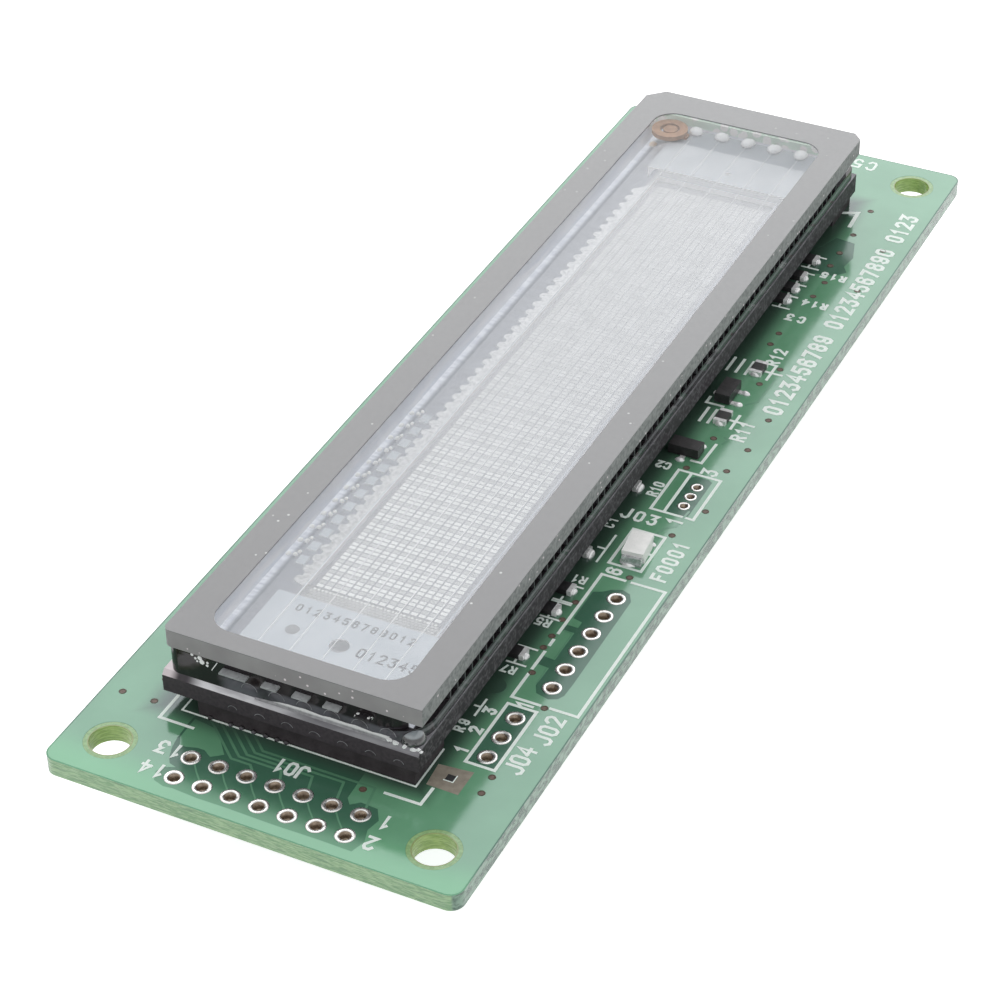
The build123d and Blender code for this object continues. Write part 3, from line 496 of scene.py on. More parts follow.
nodes_of_finish = (
    (green, "circuit_board"), (solder, "chip_ends transistor_feet"), (fuse_silver, "fuse_caps"),
    (tin, "can_feet converter_pins processor_leads memory_leads diode_ends switch_tabs filter_ends"),
    (torn_silver(), "near_tabs"), (cushion_finish(), "cushion_pad"), (rear_glass_finish(), "rear_glass"),
    (seal_black, "seal_frame"), (glass_finish(), "front_glass"), (bead_finish(), "corner_bead"),
    (border_finish(), "border_print"), (floor_finish(), "anode_plate"), (phosphor, "dot_rows"),
    (strip_pale, "printed_strip"), (inner_sheet, "contact_pads grid_frame near_support far_support"),
    (wire, "near_clamps filaments"), (lump_white, "far_clamps"), (getter, "getter_ring"),
    (stub_grey, "lead_stubs"), (lead_metal, "display_leads"), (ceramic, "fuse_body"),
    (chip_black, "chip_bodies transistor_bodies processor_body memory_body diode_bodies switch_body"),
    (can_metal, "cans"), (base_black, "can_bases converter_carrier"), (ferrite, "converter_core"),
    (coil_tape, "converter_coil"), (amber, "resonator"), (tan, "filter_bodies"),
)
for look, names in nodes_of_finish:
    for name in names.split():
        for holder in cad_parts[name].material_slots:
            holder.material = look


# Ways to make pieces
def shown(name, data):
    """A new object in the scene."""
    made = bpy.data.objects.new(name, data)
    bpy.context.collection.objects.link(made)
    return made


def adopt(name, mesh, hides):
    """Makes a mesh a piece of the model, in the place of any CAD nodes that it hides."""
    made = shown(name, mesh)
    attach(made, "root")
    for hidden in hides:
        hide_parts(hidden)


def piece(name, data, finish, hides=(), smooth=False):
    """Makes mesh data into a piece, closed and facing outwards, with its finish."""
    bmesh.ops.recalc_face_normals(data, faces=data.faces)
    mesh = bpy.data.meshes.new(name)
    data.to_mesh(mesh)
    data.free()
    mesh.materials.append(finish)
    if smooth:
        mesh.polygons.foreach_set("use_smooth", [True] * len(mesh.polygons))
    adopt(name, mesh, hides)


def band(data, first, second):
    """Joins two rings of corners with a band of faces."""
    for index in range(len(first)):
        following = (index + 1) % len(first)
        data.faces.new((first[index], first[following], second[following], second[index]))


def slab(data, outline, low, high):
    """A flat closed plate from its outline on the board and its two heights."""
    bottom, top = [[data.verts.new(at(x, y, height)) for x, y in outline] for height in (low, high)]
    data.faces.new(bottom[::-1])
    data.faces.new(top)
    band(data, bottom, top)


def plate(name, outline, low, high, finish):
    """A piece that is one flat plate."""
    data = bmesh.new()
    slab(data, outline, low, high)
    piece(name, data, finish)


def stroke(data, points, width, low, high, closed=False):
    """A line of even width along points on the board, with mitred corners."""
    spots = [Vector(point) for point in points]
    count = len(spots)
    rings = []
    for index, spot in enumerate(spots):
        before = spots[index - 1] if index or closed else None
        after = spots[(index + 1) % count] if index < count - 1 or closed else None
        inward = (spot - before).normalized() if before else (after - spot).normalized()
        onward = (after - spot).normalized() if after else inward
        lean = (inward + onward).normalized() if (inward + onward).length > 0.3 else inward
        side = Vector((-lean.y, lean.x)) * width / 2 / max(lean.dot(inward), 0.5)
        cap = (inward * (not after) - onward * (not before)) * width / 2
        left, right = spot + side + cap, spot - side + cap
        rings.append([data.verts.new(at(corner.x, corner.y, height))
                      for corner, height in ((left, low), (right, low), (right, high), (left, high))])
    pairs = list(zip(rings, rings[1:])) + ([(rings[-1], rings[0])] if closed else [])
    for first, second in pairs:
        band(data, first, second)
    if not closed:
        data.faces.new(rings[0][::-1])
        data.faces.new(rings[-1])


def lathe(data, centre, profile, steps=28):
    """Turns a closed profile of radii and heights round an upright line through a place on the board."""
    rings = []
    for step in range(steps):
        angle = math.tau * step / steps
        rings.append([data.verts.new(at(centre[0] + radius * math.cos(angle),
                                        centre[1] + radius * math.sin(angle), height))
                      for radius, height in profile])
    for first, second in zip(rings, rings[1:] + rings[:1]):
        band(data, second, first)


def dome(data, centre, reach, height, base=0.0, steps=16, rings=5, ragged=0.08):
    """A low lump, such as a drop of solder, on an oval foot."""
    levels = []
    turn = chance.uniform(0, math.tau)
    for ring in range(rings):
        share = math.cos(math.pi / 2 * ring / rings)
        level = []
        for step in range(steps):
            angle = math.tau * step / steps
            wave = 1 + ragged * math.sin(2 * angle + turn) + ragged * 0.6 * math.sin(3 * angle - turn)
            level.append(data.verts.new(at(centre[0] + reach[0] * share * wave * math.cos(angle),
                                           centre[1] + reach[1] * share * wave * math.sin(angle),
                                           base + height * math.sin(math.pi / 2 * ring / rings))))
        levels.append(level)
    data.faces.new(levels[0][::-1])
    tip = data.verts.new(at(centre[0], centre[1], base + height))
    for lower, upper in zip(levels, levels[1:]):
        band(data, lower, upper)
    for step in range(steps):
        data.faces.new((levels[-1][step], levels[-1][(step + 1) % steps], tip))


def sheet(name, loops, low, high, finish, hides=()):
    """A thin flat plate from loops on the board, where a loop inside another is a hole."""
    curve = bpy.data.curves.new(name, "CURVE")
    curve.dimensions = "2D"
    curve.fill_mode = "BOTH"
    curve.extrude = (high - low) / 2 * MM
    for loop in loops:
        spline = curve.splines.new("POLY")
        spline.points.add(len(loop) - 1)
        spline.use_cyclic_u = True
        for point, (x, y) in zip(spline.points, loop):
            spot = at(x, y)
            point.co = (spot.x, spot.y, 0.0, 1.0)
    curve.materials.append(finish)
    drawn = shown(name + "_drawn", curve)
    drawn.location.z = board_high.z + (low + high) / 2 * MM
    bpy.context.view_layer.update()
    mesh = bpy.data.meshes.new_from_object(drawn.evaluated_get(bpy.context.evaluated_depsgraph_get()))
    mesh.transform(drawn.matrix_world)
    bpy.data.objects.remove(drawn)
    adopt(name, mesh, hides)


def paths(text):
    """Paths of points from text such as "1.5,2 3,4/0,2 1,1"."""
    return [[tuple(map(float, point.split(","))) for point in path.split()] for path in text.split("/")]


def corners(near, right, far, left):
    """The outline of a rectangle on the board."""
    return [(near, right), (far, right), (far, left), (near, left)]


def arc(centre, radius, start, end, steps):
    """Points along part of a circle, from one angle to another in degrees."""
    turns = [math.radians(start + (end - start) * step / steps) for step in range(steps + 1)]
    return [(centre[0] + radius * math.cos(turn), centre[1] + radius * math.sin(turn)) for turn in turns]


def circle(centre, radius, steps=28):
    return arc(centre, radius, 0, 360, steps)[:-1]


# Where the plated holes are
pin_pitch, pin_bore, pin_land = 2.54, 0.51, 0.85
plug_pitch, plug_bore, plug_land = 1.5, 0.35, 0.6
header_rows = (2.43, 4.97)
header_places = [(row, board_width / 2 + (index - 3) * pin_pitch)
                 for row in header_rows for index in range(7)]
supply_places = [(24.77 + index * pin_pitch, 3.91) for index in range(6)]
jumper_places = [(15.06 + index * pin_pitch, 4.99) for index in range(3)]
plug_places = [(51.83 + index * plug_pitch, 3.86) for index in range(3)]

# Copper under the mask
copper_height = 0.012
header_gap = paths(
    "11,28.4 8.25,28.42 6.6,28.33 5.4,28.1 4.3,27.7 3.7,27.3 3.5,26.6 3.1,27.5 2.43,27.8 1.5,27.4 "
    "1.2,26.4 1.3,25.6 1.15,23.3 1.18,20.7 1.1,16.6 1.15,12.4 1.1,9.6 2.43,9.2 3.7,9.6 4.97,9.3 6.1,10 "
    "6.2,11.5 5.6,12.2 6.2,12.7 8.58,12.8 11,12.9")[0]
supply_gap = paths(
    "23.65,4.8 23.36,3.6 23.7,2.9 24.3,2.6 25.8,2.54 37.6,2.6 38.5,3.1 38.8,3.9 38.4,4.8 37.9,5.3 "
    "37.5,6.1 33.6,6.1 33.4,5.2 32.6,5.2 32.6,6.3 31.9,6.3 31.85,5.2 28.05,5.2 28.1,6.3 27,6.3 26.9,5.2 "
    "24.5,5.25")[0]
plug_gap = paths("50.6,2.9 56,2.9 56.3,3.3 56.3,4.6 55.9,4.95 50.6,4.95 50.3,4.5 50.3,3.3")[0]
parts_gap = paths("92,8.4 92.6,5.2 93.7,4.3 94.6,4.9 96.5,4.65 99.1,5.45 99.4,7.5 97,8.4")[0]
pin_gaps = [header_gap, supply_gap, corners(14.0, 3.9, 21.4, 6.2), plug_gap]
edge_gap = 0.12
ground_corner = 1.1
near_turn = edge_gap + ground_corner
ground = []
for quarter, (x, y) in enumerate(((board_length - near_turn, board_width - near_turn),
                                  (near_turn, board_width - near_turn), (near_turn, near_turn),
                                  (board_length - near_turn, near_turn))):
    ground += arc((x, y), ground_corner, quarter * 90, quarter * 90 + 90, 6)
mount_gaps = [circle((x, y), mount_land_radius + 0.02, 48) for x in (mount_inset, board_length - mount_inset)
              for y in (mount_inset, board_width - mount_inset)]
sheet("ground_copper", [ground, *pin_gaps, parts_gap, *mount_gaps], 0.0, copper_height, copper_green)
island = paths(
    "9.1,28.2 8.8,26.2 8.15,25.4 6.4,23.9 5.7,24.8 6.2,25.6 6.2,26.3 5.9,27.1 5.9,27.7 6.7,28.15")[0]
sheet("header_island", [island], 0.0, copper_height, copper_green)
traces = bmesh.new()
trace_width = 0.22
trace_height = 0.016
inner_row = header_rows[1]
fan_step = 0.46
fan_end = 9.9
for index in range(5):
    pin_across = board_width / 2 + (1 - index) * pin_pitch
    out = 6.25 + index * fan_step
    bend = 23.2 - index * fan_step
    stroke(traces, [(inner_row + pin_land, pin_across), (out, pin_across + 0.4), (out, bend),
                    (fan_end, bend + 1.15 * (fan_end - out))], trace_width, 0.0, trace_height)
for row in range(1, 7):
    middle = board_width / 2 + (row - 3.5) * pin_pitch
    stroke(traces, [(header_rows[0] + 0.5, middle - 0.75), (3.7, middle), (inner_row - 0.6, middle + 0.55)],
           0.14, 0.0, copper_height)
over_copper = copper_height + 0.002, copper_height * 2
for width, drawn in (
    (trace_width, "47.3,4.35 48.1,4.1 48.8,3.3 51.2,3.1/61.9,4.3 62.6,4.1 62.9,4.5/"
     "68.5,4.7 69.4,3.9 73.4,3.8"),
    (0.12, "26.77,5.35 24.7,5.3/31.8,6.2 31.75,5.3 28.2,5.3"),
):
    for path in paths(drawn):
        stroke(traces, path, width, *over_copper)
piece("fine_traces", traces, trace_green)
plate("via_clearance", circle((23.05, 8.27), 1.0, 24), 0.0, 0.02, gap_green)
plate("bare_window", [(10.15, 5.1), (13.0, 5.1), (12.7, 8.1), (10.2, 7.9)], 0.0, 0.02, brown)
# Painted shade: a dark square for the shade inside a small square hole in the bare window.
plate("square_hole_shade", corners(11.3, 6.15, 12.0, 6.85), 0.0, 0.025, base_black)

# Print
ink_height = 0.02
layer_step = 0.002
line_width, letter_width, fine_width = 0.28, 0.22, 0.2
layers = itertools.cycle(range(9))
print_data = bmesh.new()


def line(points, width=line_width, closed=False, data=print_data, base=0.0):
    """Prints one line. Each lies a hair above the one before, so that crossings stay clean."""
    stroke(data, points, width, base, base + ink_height + layer_step * next(layers), closed)


glyphs = {
    "0": "1,0 3,0 4,1 4,5 3,6 1,6 0,5 0,1 1,0",
    "1": "0.8,4.6 2.2,6 2.2,0",
    "2": "0,5 1,6 3,6 4,5 4,4 0,0 4,0",
    "3": "0,6 4,6 2,3.6 3,3.6 4,2.6 4,1 3,0 1,0 0,1",
    "4": "3,0 3,6 0,2/0,2 4.2,2",
    "5": "4,6 0.4,6 0,3.6 3,3.6 4,2.6 4,1 3,0 1,0 0,1",
    "6": "4,5 3,6 1,6 0,5 0,1 1,0 3,0 4,1 4,2.4 3,3.4/3,3.4 0,3.4",
    "7": "0,6 4,6 1.5,0",
    "8": "1,3.2 0,4 0,5 1,6 3,6 4,5 4,4 3,3.2 1,3.2/1,3.2 0,2.3 0,1 1,0 3,0 4,1 4,2.3 3,3.2 1,3.2",
    "9": "0,1 1,0 3,0 4,1 4,5 3,6 1,6 0,5 0,3.6 1,2.6/1,2.6 4,2.6",
    "C": "4,5 3,6 1,6 0,5 0,1 1,0 3,0 4,1",
    "F": "4,6 0,6 0,0/0,3.2 3.2,3.2",
    "J": "0,1 1,0 3,0 4,1 4,6",
    "R": "0,0 0,6/0,6 3,6 4,5 4,4 3,3 0,3/2,3 4,0",
}


def trail(draw, path, width, **where):
    """Draws a path, which is closed if it ends at its start."""
    closed = path[0] == path[-1]
    draw(path[:-1] if closed else path, width, closed, **where)


def write(text, start, height, turn=0, pitch=None, width=line_width, draw=line, rise=1, **where):
    """Writes plain characters from a starting place. A turn of 90 degrees runs across the board.

    A rise of -1 mirrors them, for the underside."""
    unit = height / 6
    slim = 0.75
    angle = math.radians(turn)
    along = Vector((math.cos(angle), math.sin(angle)))
    upward = Vector((-along.y, along.x)) * rise
    for index, letter in enumerate(text):
        begin = Vector(start) + along * index * (pitch or 0.88 * height)
        for path in paths(glyphs[letter]) if letter in glyphs else []:
            points = [begin + (along * x * slim + upward * y) * unit for x, y in path]
            trail(draw, points, width, **where)


# The print's lines in their order, where one that ends at its start is closed
for width, drawn in (
    (0.17, "14.4,8.5 9.6,8.5 9.6,29.7 11.2,29.7"),
    (line_width, "11.1,30.9 8.05,30.9 8.05,27.8/7.94,10.3 7.97,7.24 9.94,7.2"),
    (0.4, "102,7.05 104.8,7.2 104.1,8.75"),
    (line_width, "25.5,6.4 22.4,6.4 22.4,3.9/22.4,2.9 22.4,0.5 40,0.5 40,3.55/40,4.25 40,6.38 31.3,6.38/"
     "26.3,6.4 28.6,6.39/29.6,6.38 30.3,6.38/13.87,3.75 21.55,3.75 21.55,6.32 13.87,6.32 13.87,3.75/"
     "50.3,2.3 56.6,2.3 56.6,6.35 50.3,6.35 50.3,2.3/50.3,5.1 56.6,5.1/"
     "41.7,3.5 46.95,3.5 46.95,6.5 41.7,6.5 41.7,3.5/44.2,3.6 44.2,4.15/"
     "61.5,4.8 58.35,4.9 58.35,5.85/68.3,8.2 67.35,8.2 67.35,6.55"),
    (fine_width, "41.4,7.5 45.4,7.5/43.3,7.5 43.3,8.2/19.1,8.08 21.2,8.08/20.2,8.08 20.2,8.6"),
):
    for path in paths(drawn):
        trail(line, path, width)
for station in (27.4, 33.9, 36.4, 86.3, 88.5, 90.8, 94.1):
    for side in (-1.13, 1.13):
        line([(station + side, 7.05), (station + side, 8.7)], fine_width)
        line([(station + side, 8.1), (station + side * 0.55, 8.1)], fine_width)
for station, marks in ((65.5, (4.57, 6.83, 7.65)), (74.2, (4.52, 6.69, 7.62, 8.55))):
    for mark in marks:
        line([(station - 1.1, mark), (station + 1.1, mark)])
    line([(station + 0.1, marks[0] - 1.0), (station + 0.1, marks[0] + 0.7)])

# Each label: its text, start, height, turn, pitch and line width
labels = [
    ("13", (5.75, 27.2), 1.3, 90, 1.25), ("14", (3.2, 27.2), 1.3, 90, 1.25),
    ("J01", (7.85, 16.9), 1.3, 90, 1.05), ("1", (5.65, 8.4), 1.3, 90), ("2", (3.15, 8.4), 1.3, 90),
    ("1", (21.6, 4.35), 1.3), ("6", (40.5, 5.0), 1.2),
    *[(str(index + 1), (x - 0.3, 6.75), 0.95) for index, (x, y) in enumerate(jumper_places)],
    ("J04", (14.3, 1.75), 1.45, 0, 1.15), ("J02", (18.3, 1.2), 1.45, 0, 1.25),
    ("J03", (48.15, 8.3), 1.25, -90, 1.25), ("F0001", (41.3, 1.15), 1.25, 0, 1.2), ("1", (49.1, 3.05), 1.3),
    ("3", (57.0, 3.05), 1.3), ("R7", (25.75, 7.55), 0.8, 90, None, fine_width),
    ("R5", (32.45, 7.55), 0.85, 90, None, fine_width), ("R1", (38.95, 7.25), 0.85, 90, None, fine_width),
    ("R9", (16.9, 8.1), 0.8, 0, 0.9, fine_width), ("C1", (46.3, 8.25), 0.8, 0, 0.85, fine_width),
    ("R10", (52.1, 6.65), 0.85, 0, 0.75, letter_width), ("C2", (57.1, 7.3), 0.85, 90, None, letter_width),
    ("R11", (63.0, 2.8), 1.2, 0, 1.1), ("R12", (75.6, 4.5), 1.1, 0, 1.05),
    ("C3", (84.4, 5.0), 0.95, 90, 1.2), ("R14", (87.4, 3.9), 0.85, 90, 0.95),
    ("R15", (92.8, 4.0), 0.85, 90, 0.95),
    ("0123456789 01234567890 0123", (68.3, 1.35), 1.55, 0, 1.43, 0.36), ("C5", (114.9, 8.8), 1.5, 90, 1.5),
]
for label in labels:
    write(*label)
# A painted highlight on the near and right rims of the small square hole, drawn in the print's ink.
line([(11.25, 6.9), (11.25, 6.1), (12.05, 6.1)], 0.1)
piece("board_print", print_data, ink)

# Tinned rings and their barrels, with the same section of land on both faces of the board
land_rise = 0.05
plating = 0.02
rings = bmesh.new()
barrels = bmesh.new()
for spots, bore, land in ((header_places + supply_places + jumper_places, pin_bore, pin_land),
                          (plug_places, plug_bore, plug_land)):
    upper = [(bore - 0.02, 0.0), (land, 0.0), (land - 0.05, land_rise * 0.7), (land - 0.14, land_rise),
             (bore + 0.06, land_rise * 0.9), (bore - 0.01, land_rise * 0.3)]
    lower = [(radius, -board_thickness - height) for radius, height in upper]
    for spot in spots:
        lathe(rings, spot, upper)
        lathe(rings, spot, lower)
        lathe(barrels, spot, corners(bore - 0.001, -0.002, bore - plating, 0.002 - board_thickness))
piece("pin_rings", rings, tin, smooth=True)
piece("pin_barrels", barrels, barrel, smooth=True)

via_places = paths(
    "13.12,3.6 11.13,3.54 22.25,3.39 25.81,6.2 29.1,6.73 30.73,6.72 33.03,6.85 35.6,6.8 40.57,4.04 "
    "47.5,3.1 51.9,1.8 57.15,5.85 58.2,2.4 61.98,1.9 62.35,5.39 67.08,1.92 72.17,4.86 75.2,4 78.8,6.4 "
    "80.84,6.35 88.3,5.73 91.05,2.18 91.1,5.6 94.25,6.2 96.85,6.19 99,2.42 100.6,6.15 105.63,6.15 "
    "9.48,35.28 9.56,32.32 7.56,12.09 12.3,32.9 108.6,33.4 31.5,34.6 61.4,34.9 86.2,34.3")[0]
via_radius, via_rim = 0.22, 0.35
via_lands = bmesh.new()
via_pits = bmesh.new()
for spot in via_places:
    for foot, rise in ((0.0, 1), (-board_thickness, -1)):
        lathe(via_lands, spot, [(via_radius - 0.02, foot), (via_rim, foot),
                                (via_rim - 0.05, foot + 0.035 * rise), (via_radius, foot + 0.03 * rise)], 16)
        slab(via_pits, circle(spot, via_radius, 16), *sorted((foot, foot + 0.016 * rise)))
piece("via_rings", via_lands, via_ring, smooth=True)
piece("via_pits", via_pits, via_pit)

# Solder at the parts on the top face
lumps = bmesh.new()
for station in (27.4, 33.7, 36.7, 86.4, 88.6, 90.9, 94.2):
    dome(lumps, (station + chance.uniform(-0.06, 0.06), 7.44), (0.38, 0.24), 0.34)
for station in (42.0, 52.5):
    dome(lumps, (station, 8.3), (0.6, 0.3), 0.45)
for spot in ((68.15, 5.35), (70.1, 5.4), (58.0, 6.85), (60.65, 5.8)):
    dome(lumps, spot, (0.34, 0.44), 0.3)
for station in (65.5, 74.2):
    for side in (-0.98, 0.98):
        dome(lumps, (station + side, 5.78), (0.26, 0.44), 0.4)
dome(lumps, (42.35, 4.95), (0.5, 0.95), 0.32)
dome(lumps, (45.55, 4.6), (0.42, 0.9), 0.3)
piece("solder_lumps", lumps, solder, smooth=True)

# The underside
underside = -board_thickness
under_print = bmesh.new()
under_traces = bmesh.new()
under_middle = board_width / 2


def below(points, width=fine_width, closed=False, data=under_print, lift=ink_height):
    """Draws one line on the underside, each a hair lower than the one before."""
    stroke(data, points, width, underside - lift - layer_step * next(layers), underside, closed)


def route(points, width=0.2):
    below(points, width, data=under_traces, lift=0.024)


def plan_of(node, margin=0.0):
    """The corners of a CAD node's box on the board, with a margin."""
    (near, right, _), (far, left, _) = box_of(node)
    return corners(near - margin, right - margin, far + margin, left + margin)


(lead_near, _, _), (lead_far, lead_line, _) = box_of("display_leads")
lead_line -= 0.25
lead_count = 32
lead_pitch = (lead_far - lead_near - 0.5) / (lead_count - 1)
lead_stations = [lead_near + 0.25 + lead_pitch * index for index in range(lead_count)]
pour_gaps = [plan_of(node, margin) for node, margin in (("processor_leads", 1.0), ("memory_leads", 1.0),
                                                        ("converter_pins", 0.8), ("filter_ends", 0.8),
                                                        ("diode_ends", 0.8))]
pour_gaps.append(corners(lead_near - 1.0, lead_line - 1.1, lead_far + 1.0, lead_line + 1.1))
sheet("under_copper", [ground, *pin_gaps, *pour_gaps, *mount_gaps], underside - copper_height, underside,
      copper_green)
for index in range(11):
    step = 0.8 * (index - 5)
    station, across = 40.0 + step, under_middle + step
    route([(station, 24.4), (station, 27.4 + 0.25 * abs(step)), (station - 6.0 + 1.7 * step, 31.6)])
    level = 14.0 + 0.9 * index
    route([(34.1, across), (30.0 - 0.3 * index, across), (20.0, level), (8.6, level)])
for index in range(8):
    across = under_middle + 0.8 * (index - 3.5)
    station, level = 62.0 + 1.27 * (index - 3.5), 14.2 - 0.5 * index
    route([(45.9, across), (49.5, across), (53.0, level), (station - 2.0, level), (station, 16.2),
           (station, 19.4)])
for index, station in enumerate(lead_stations[19:31]):
    level = lead_line - 3.8 - 0.3 * (index % 4)
    route([(station, lead_line), (station, lead_line - 1.8), (station - 2.0, level), (station - 5.0, level)])
for across, wide in ((12.0, 1.2), (8.4, 0.8)):
    route([(86.0, across), (80.5, across), (78.0, across + 2.0)], wide)
piece("under_traces", under_traces, trace_green)
joints = bmesh.new()
for station in lead_stations:
    dome(joints, (station, lead_line), (0.75, 0.75), -0.45, underside)
piece("lead_joints", joints, solder, smooth=True)
for node in ("processor_body", "memory_body", "switch_body", "converter_carrier"):
    below(plan_of(node, 0.35), closed=True)
below(plan_of("resonator", 0.5), closed=True)
for node in ("processor_body", "memory_body"):
    below(circle(plan_of(node, 0.9)[0], 0.3, 10), closed=True)
for label, *spot in (("J05", 48.6, 11.0), ("J06", 60.0, 26.2), ("F0002", 91.0, 27.0), ("R20", 30.0, 22.6),
                     ("C7", 19.8, 9.8), ("C8", 19.8, 22.6), ("C9", 106.0, 22.6), ("R21", 71.5, 29.2),
                     ("J07", 97.2, 3.2)):
    write(label, spot, 1.4, 180, None, letter_width, below, -1)
write("0123456789", (72.0, 4.6), 1.6, 180, None, letter_width, below, -1)
write("14", (2.0, 26.12), 1.3, 180, None, fine_width, below, -1)
write("1", (2.0, 10.88), 1.3, 180, None, fine_width, below, -1)
piece("under_print", under_print, ink)

# Inside the display
floor_level = box_of("anode_plate")[1][2]
(dots_near, dots_right, dots_level), (dots_far, dots_left, _) = box_of("dot_rows")
dot_columns, dot_rows = 140, 16
column_pitch = (dots_far - dots_near) / dot_columns
row_pitch = (dots_left - dots_right) / dot_rows
dot_length, dot_width, dot_rise = 0.74 * column_pitch, 0.78 * row_pitch, 0.012
dots = {phosphor: bmesh.new(), phosphor_dim: bmesh.new()}
for column in range(dot_columns):
    for row in range(dot_rows):
        x = dots_near + column * column_pitch + (column_pitch - dot_length) / 2
        y = dots_right + row * row_pitch + (row_pitch - dot_width) / 2
        shade = phosphor_dim if column % 3 == 2 else phosphor
        slab(dots[shade], corners(x, y, x + dot_length, y + dot_width), dots_level, dots_level + dot_rise)
piece("dots", dots[phosphor], phosphor, hides=["dot_rows"])
piece("dim_dots", dots[phosphor_dim], phosphor_dim)

cell, web = 0.36, 0.07
cell_step = cell * math.sqrt(3) / 2
hexagon = (cell - web) / math.sqrt(3)
mesh_level = box_of("grid_frame")[1][2] - 0.1
mesh_near, mesh_right, mesh_far = 21.35, dots_right - 0.5, dots_near
mesh_left = dots_left + 0.45
mesh_loops = [corners(mesh_near, mesh_right, mesh_far, mesh_left)]
for column in range(int((mesh_far - mesh_near) / cell_step)):
    x = mesh_near + 0.2 + column * cell_step
    for row in range(int((mesh_left - mesh_right - 0.4) / cell)):
        y = mesh_right + 0.2 + (row + 0.5 * (column % 2)) * cell
        if x + hexagon < mesh_far and y + hexagon < mesh_left:
            mesh_loops.append(circle((x, y), hexagon, 6))
plate("mesh_backing", mesh_loops[0], dots_level, dots_level + 0.01, phosphor_dim)
sheet("honeycomb", mesh_loops, mesh_level, mesh_level + 0.04, mesh_grey)

scallop_pitch, scallop_radius = 1.53, 0.5
(strip_near, strip_right, _), (strip_far, strip_left, strip_top) = box_of("printed_strip")
outline = [(strip_near, strip_right), (strip_far, strip_right)]
for index in reversed(range(int((strip_far - strip_near) / scallop_pitch))):
    middle = (strip_near + (index + 0.5) * scallop_pitch, strip_left - 0.05)
    outline += arc(middle, scallop_radius, 0, 180, 6)
sheet("scallop_strip", [outline], floor_level, strip_top, strip_pale, ["printed_strip"])

(wire_near, wire_right, _), (wire_far, wire_left, wire_top) = box_of("filaments")
wire_thickness, wire_count = 0.044, 5
wire_pitch = (wire_left - wire_right - 0.14) / (wire_count - 1)
wire_lines = [wire_right + 0.07 + index * wire_pitch for index in range(wire_count)]
wires = bmesh.new()
for y in wire_lines:
    slab(wires, corners(wire_near, y - wire_thickness / 2, wire_far, y + wire_thickness / 2),
         wire_top - wire_thickness, wire_top)
piece("fine_filaments", wires, wire, hides=["filaments"])

pad_line, first_pad, pad_pitch = 28.35, 26.7, 2.04
pad_top = box_of("contact_pads")[1][2]
beads = bmesh.new()
for index in range(12):
    x = first_pad + index * pad_pitch
    dome(beads, (x - 0.28, pad_line + 0.1), (0.26, 0.22), 0.26, pad_top)
    dome(beads, (x + 0.22, pad_line - 0.05), (0.22, 0.18), 0.22, pad_top)
    dome(beads, (x - 0.3, pad_line + 0.75), (0.3, 0.24), 0.2, floor_level)
clamp_along, _, clamp_level = [sum(pair) / 2 for pair in zip(*box_of("far_clamps"))]
for y in wire_lines:
    dome(beads, (clamp_along, y), (0.8, 0.75), 0.5, clamp_level - 0.1)
piece("pad_beads", beads, lump_white, smooth=True)
getter_along, getter_across, getter_level = [sum(pair) / 2 for pair in zip(*box_of("getter_ring"))]
plate("getter_powder", circle((getter_along, getter_across), 0.75, 24), getter_level - 0.1,
      box_of("getter_ring")[1][2] - 0.06, getter)
cream = bmesh.new()
dome(cream, (getter_along - 0.95, getter_across + 1.5), (0.5, 0.45), 0.3, floor_level)
piece("cream_lump", cream, lump_cream, smooth=True)

plate_level = box_of("near_support")[1][2]
discs = bmesh.new()
for spot, radius, level in (((16.7, 23.2), 0.6, plate_level), ((17.9, 19.3), 0.9, floor_level)):
    slab(discs, circle(spot, radius, 20), level, level + dot_rise)
piece("plate_discs", discs, disc_grey)
marks = bmesh.new()
write("0123456789012", (19.0, 24.2), 0.75, -90, 0.86, 0.16, data=marks, base=plate_level)
write("012345", (15.9, 17.0), 1.0, -90, 0.95, 0.19, data=marks, base=plate_level)
piece("plate_marks", marks, mark_grey)


# Glints and reflections on the near face of the display
seal_face, glass_face, spark_face = 10.0, 9.65, 9.66
glint_relief = -0.01, 0.04
arc_relief = -0.01, 0.02


def stand(data, face):
    """Stands flat data up on the near side of the display: along turns to across, across to up."""
    for corner in data.verts:
        along, across, up = place_of(corner.co)
        corner.co = at(face - up, along, across)


glints = bmesh.new()
for across, up, size in ((28.5, 5.98, 0.14), (27.8, 5.85, 0.22), (27.62, 5.5, 0.24), (27.15, 5.3, 0.13),
                         (27.1, 5.6, 0.12), (28.2, 5.7, 0.12), (28.05, 5.45, 0.1)):
    slab(glints, circle((across, up), size, 7), *glint_relief)
stroke(glints, [(26.2, 5.9), (26.75, 5.0)], 0.07, *glint_relief)
stand(glints, seal_face)
piece("near_glints", glints, lump_white)
fillet = bmesh.new()
ribs = []
fillet_bottom = 3.49
for index in range(17):
    across = 10.9 + index * 0.75
    fade = min(1.0, (23.4 - across) / 4)
    foot = 3.5 + 0.06 * fade
    tip = foot + fade * (0.42 + 0.05 * math.sin(2.1 * index) + 0.03 * math.sin(5.3 * index))
    ribs.append([fillet.verts.new(at(along, across, up)) for along, up in (
        (9.84, fillet_bottom), (9.9, foot), (9.98, tip), (10.02, tip), (10.02, fillet_bottom))])
for first, second in zip(ribs, ribs[1:]):
    band(fillet, first, second)
fillet.faces.new(ribs[0])
fillet.faces.new(ribs[-1][::-1])
piece("foot_fillet", fillet, fillet_finish())
sparks = bmesh.new()
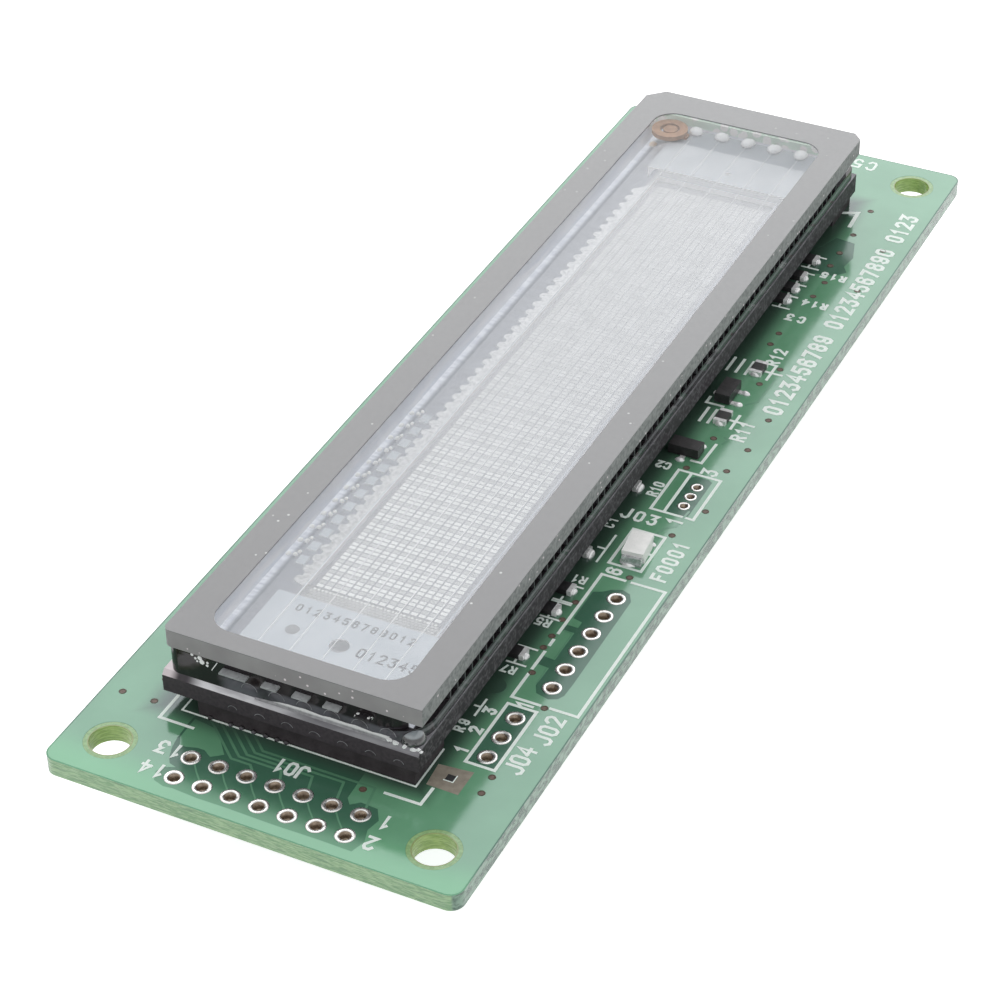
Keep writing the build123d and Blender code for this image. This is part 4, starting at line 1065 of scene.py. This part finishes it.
for across, up, wide, tall in ((10.21, 3.8, 0.5, 0.28), (9.43, 3.7, 0.34, 0.26), (8.65, 3.68, 0.46, 0.2),
                               (8.2, 3.86, 0.26, 0.18), (7.96, 3.7, 0.2, 0.16), (10.78, 3.92, 0.46, 0.22)):
    shape = [(across + wide * (0.5 + 0.2 * math.sin(3 * step + across)) * math.cos(math.tau * step / 9),
              up + tall * (0.5 + 0.2 * math.cos(2 * step + up)) * math.sin(math.tau * step / 9))
             for step in range(9)]
    slab(sparks, shape, -0.2, 0.02)
stand(sparks, spark_face)
piece("corner_sparks", sparks, lump_white)
seal_arcs = bmesh.new()
glass_arcs = bmesh.new()
for index in range(7):
    if index < 6:
        stroke(seal_arcs, arc((11.0 + 2.48 * index, 4.05), 0.72, 10, 170, 9), 0.05, *arc_relief)
    radius = 0.55 + chance.uniform(-0.1, 0.1)
    stroke(glass_arcs, arc((9.96 + 2.49 * index, 1.72), radius, 25, 155, 8), 0.045, *arc_relief)
stand(seal_arcs, seal_face)
stand(glass_arcs, glass_face)
piece("seal_arcs", seal_arcs, arc_grey)
piece("glass_arcs", glass_arcs, arc_grey)
foot_beads = bmesh.new()
for across in (27.1, 25.2, 24.2, 23.1, 22.0, 20.95, 20.1):
    dome(foot_beads, (9.68, across), (0.2, 0.24), 0.3)
piece("foot_beads", foot_beads, seal_black, smooth=True)

# Camera
camera_data = bpy.data.cameras.new("view_camera")
camera_data.lens = 102.31
camera_data.sensor_width = 36.0
camera_data.clip_start = 0.01
camera_data.clip_end = 10.0
camera = shown("view_camera", camera_data)
camera.location = (-0.1915647, -0.0892100, 0.1528090)
camera.rotation_euler = [math.radians(turn) for turn in (52.96745, 0.64105, -63.93823)]
bpy.context.scene.camera = camera


# Floor, surroundings and lamp
def seen_share(tree):
    """1 for rays from the camera and from glossy surfaces, otherwise 0."""
    rays = tree.nodes.new("ShaderNodeLightPath").outputs
    seen = tree.nodes.new("ShaderNodeMath")
    seen.operation = "MAXIMUM"
    tree.links.new(rays["Is Camera Ray"], seen.inputs[0])
    tree.links.new(rays["Is Glossy Ray"], seen.inputs[1])
    return seen.outputs[0]


def backdrop(name):
    """White paper that reaches full white in the picture and still takes the object's shadow."""
    paper = Finish(name, roughness=0.9)
    inputs = paper.shader.inputs
    inputs["Base Color"].default_value = (0.8, 0.8, 0.8, 1.0)
    inputs["Specular IOR Level"].default_value = 0.0
    inputs["Emission Color"].default_value = (1.0, 1.0, 1.0, 1.0)
    paper.link(paper.product(seen_share(paper.tree), 0.8), inputs["Emission Strength"])
    return paper.material


floor_data = bmesh.new()
bmesh.ops.create_grid(floor_data, x_segments=1, y_segments=1, size=1.2)
floor_mesh = bpy.data.meshes.new("floor")
floor_data.to_mesh(floor_mesh)
floor_data.free()
floor_mesh.materials.append(backdrop("backdrop_white"))
floor = shown("floor", floor_mesh)
floor.location.z = cad_bounds[0].z

world = bpy.data.worlds.new("surroundings")
bpy.context.scene.world = world
world.use_nodes = True
sky = world.node_tree
glow = sky.nodes["Background"].inputs
glow["Color"].default_value = (1.0, 1.0, 1.0, 1.0)
sky_level = sky.nodes.new("ShaderNodeMapRange")
sky_level.inputs["To Min"].default_value = 0.72
sky_level.inputs["To Max"].default_value = 1.0
sky.links.new(seen_share(sky), sky_level.inputs["Value"])
sky.links.new(sky_level.outputs["Result"], glow["Strength"])

key_size = 0.6
key_radiance = 1.9
key_data = bpy.data.lights.new("key_lamp", "AREA")
key_data.shape = "SQUARE"
key_data.size = key_size
key_data.energy = key_radiance * math.pi * key_size ** 2
key_lamp = shown("key_lamp", key_data)
key_lamp.location = Vector((0.73, 0.34, 0.586)) * 0.7
key_lamp.rotation_euler = (-key_lamp.location).to_track_quat("-Z", "Y").to_euler()

bpy.context.scene.view_settings.view_transform = "Standard"
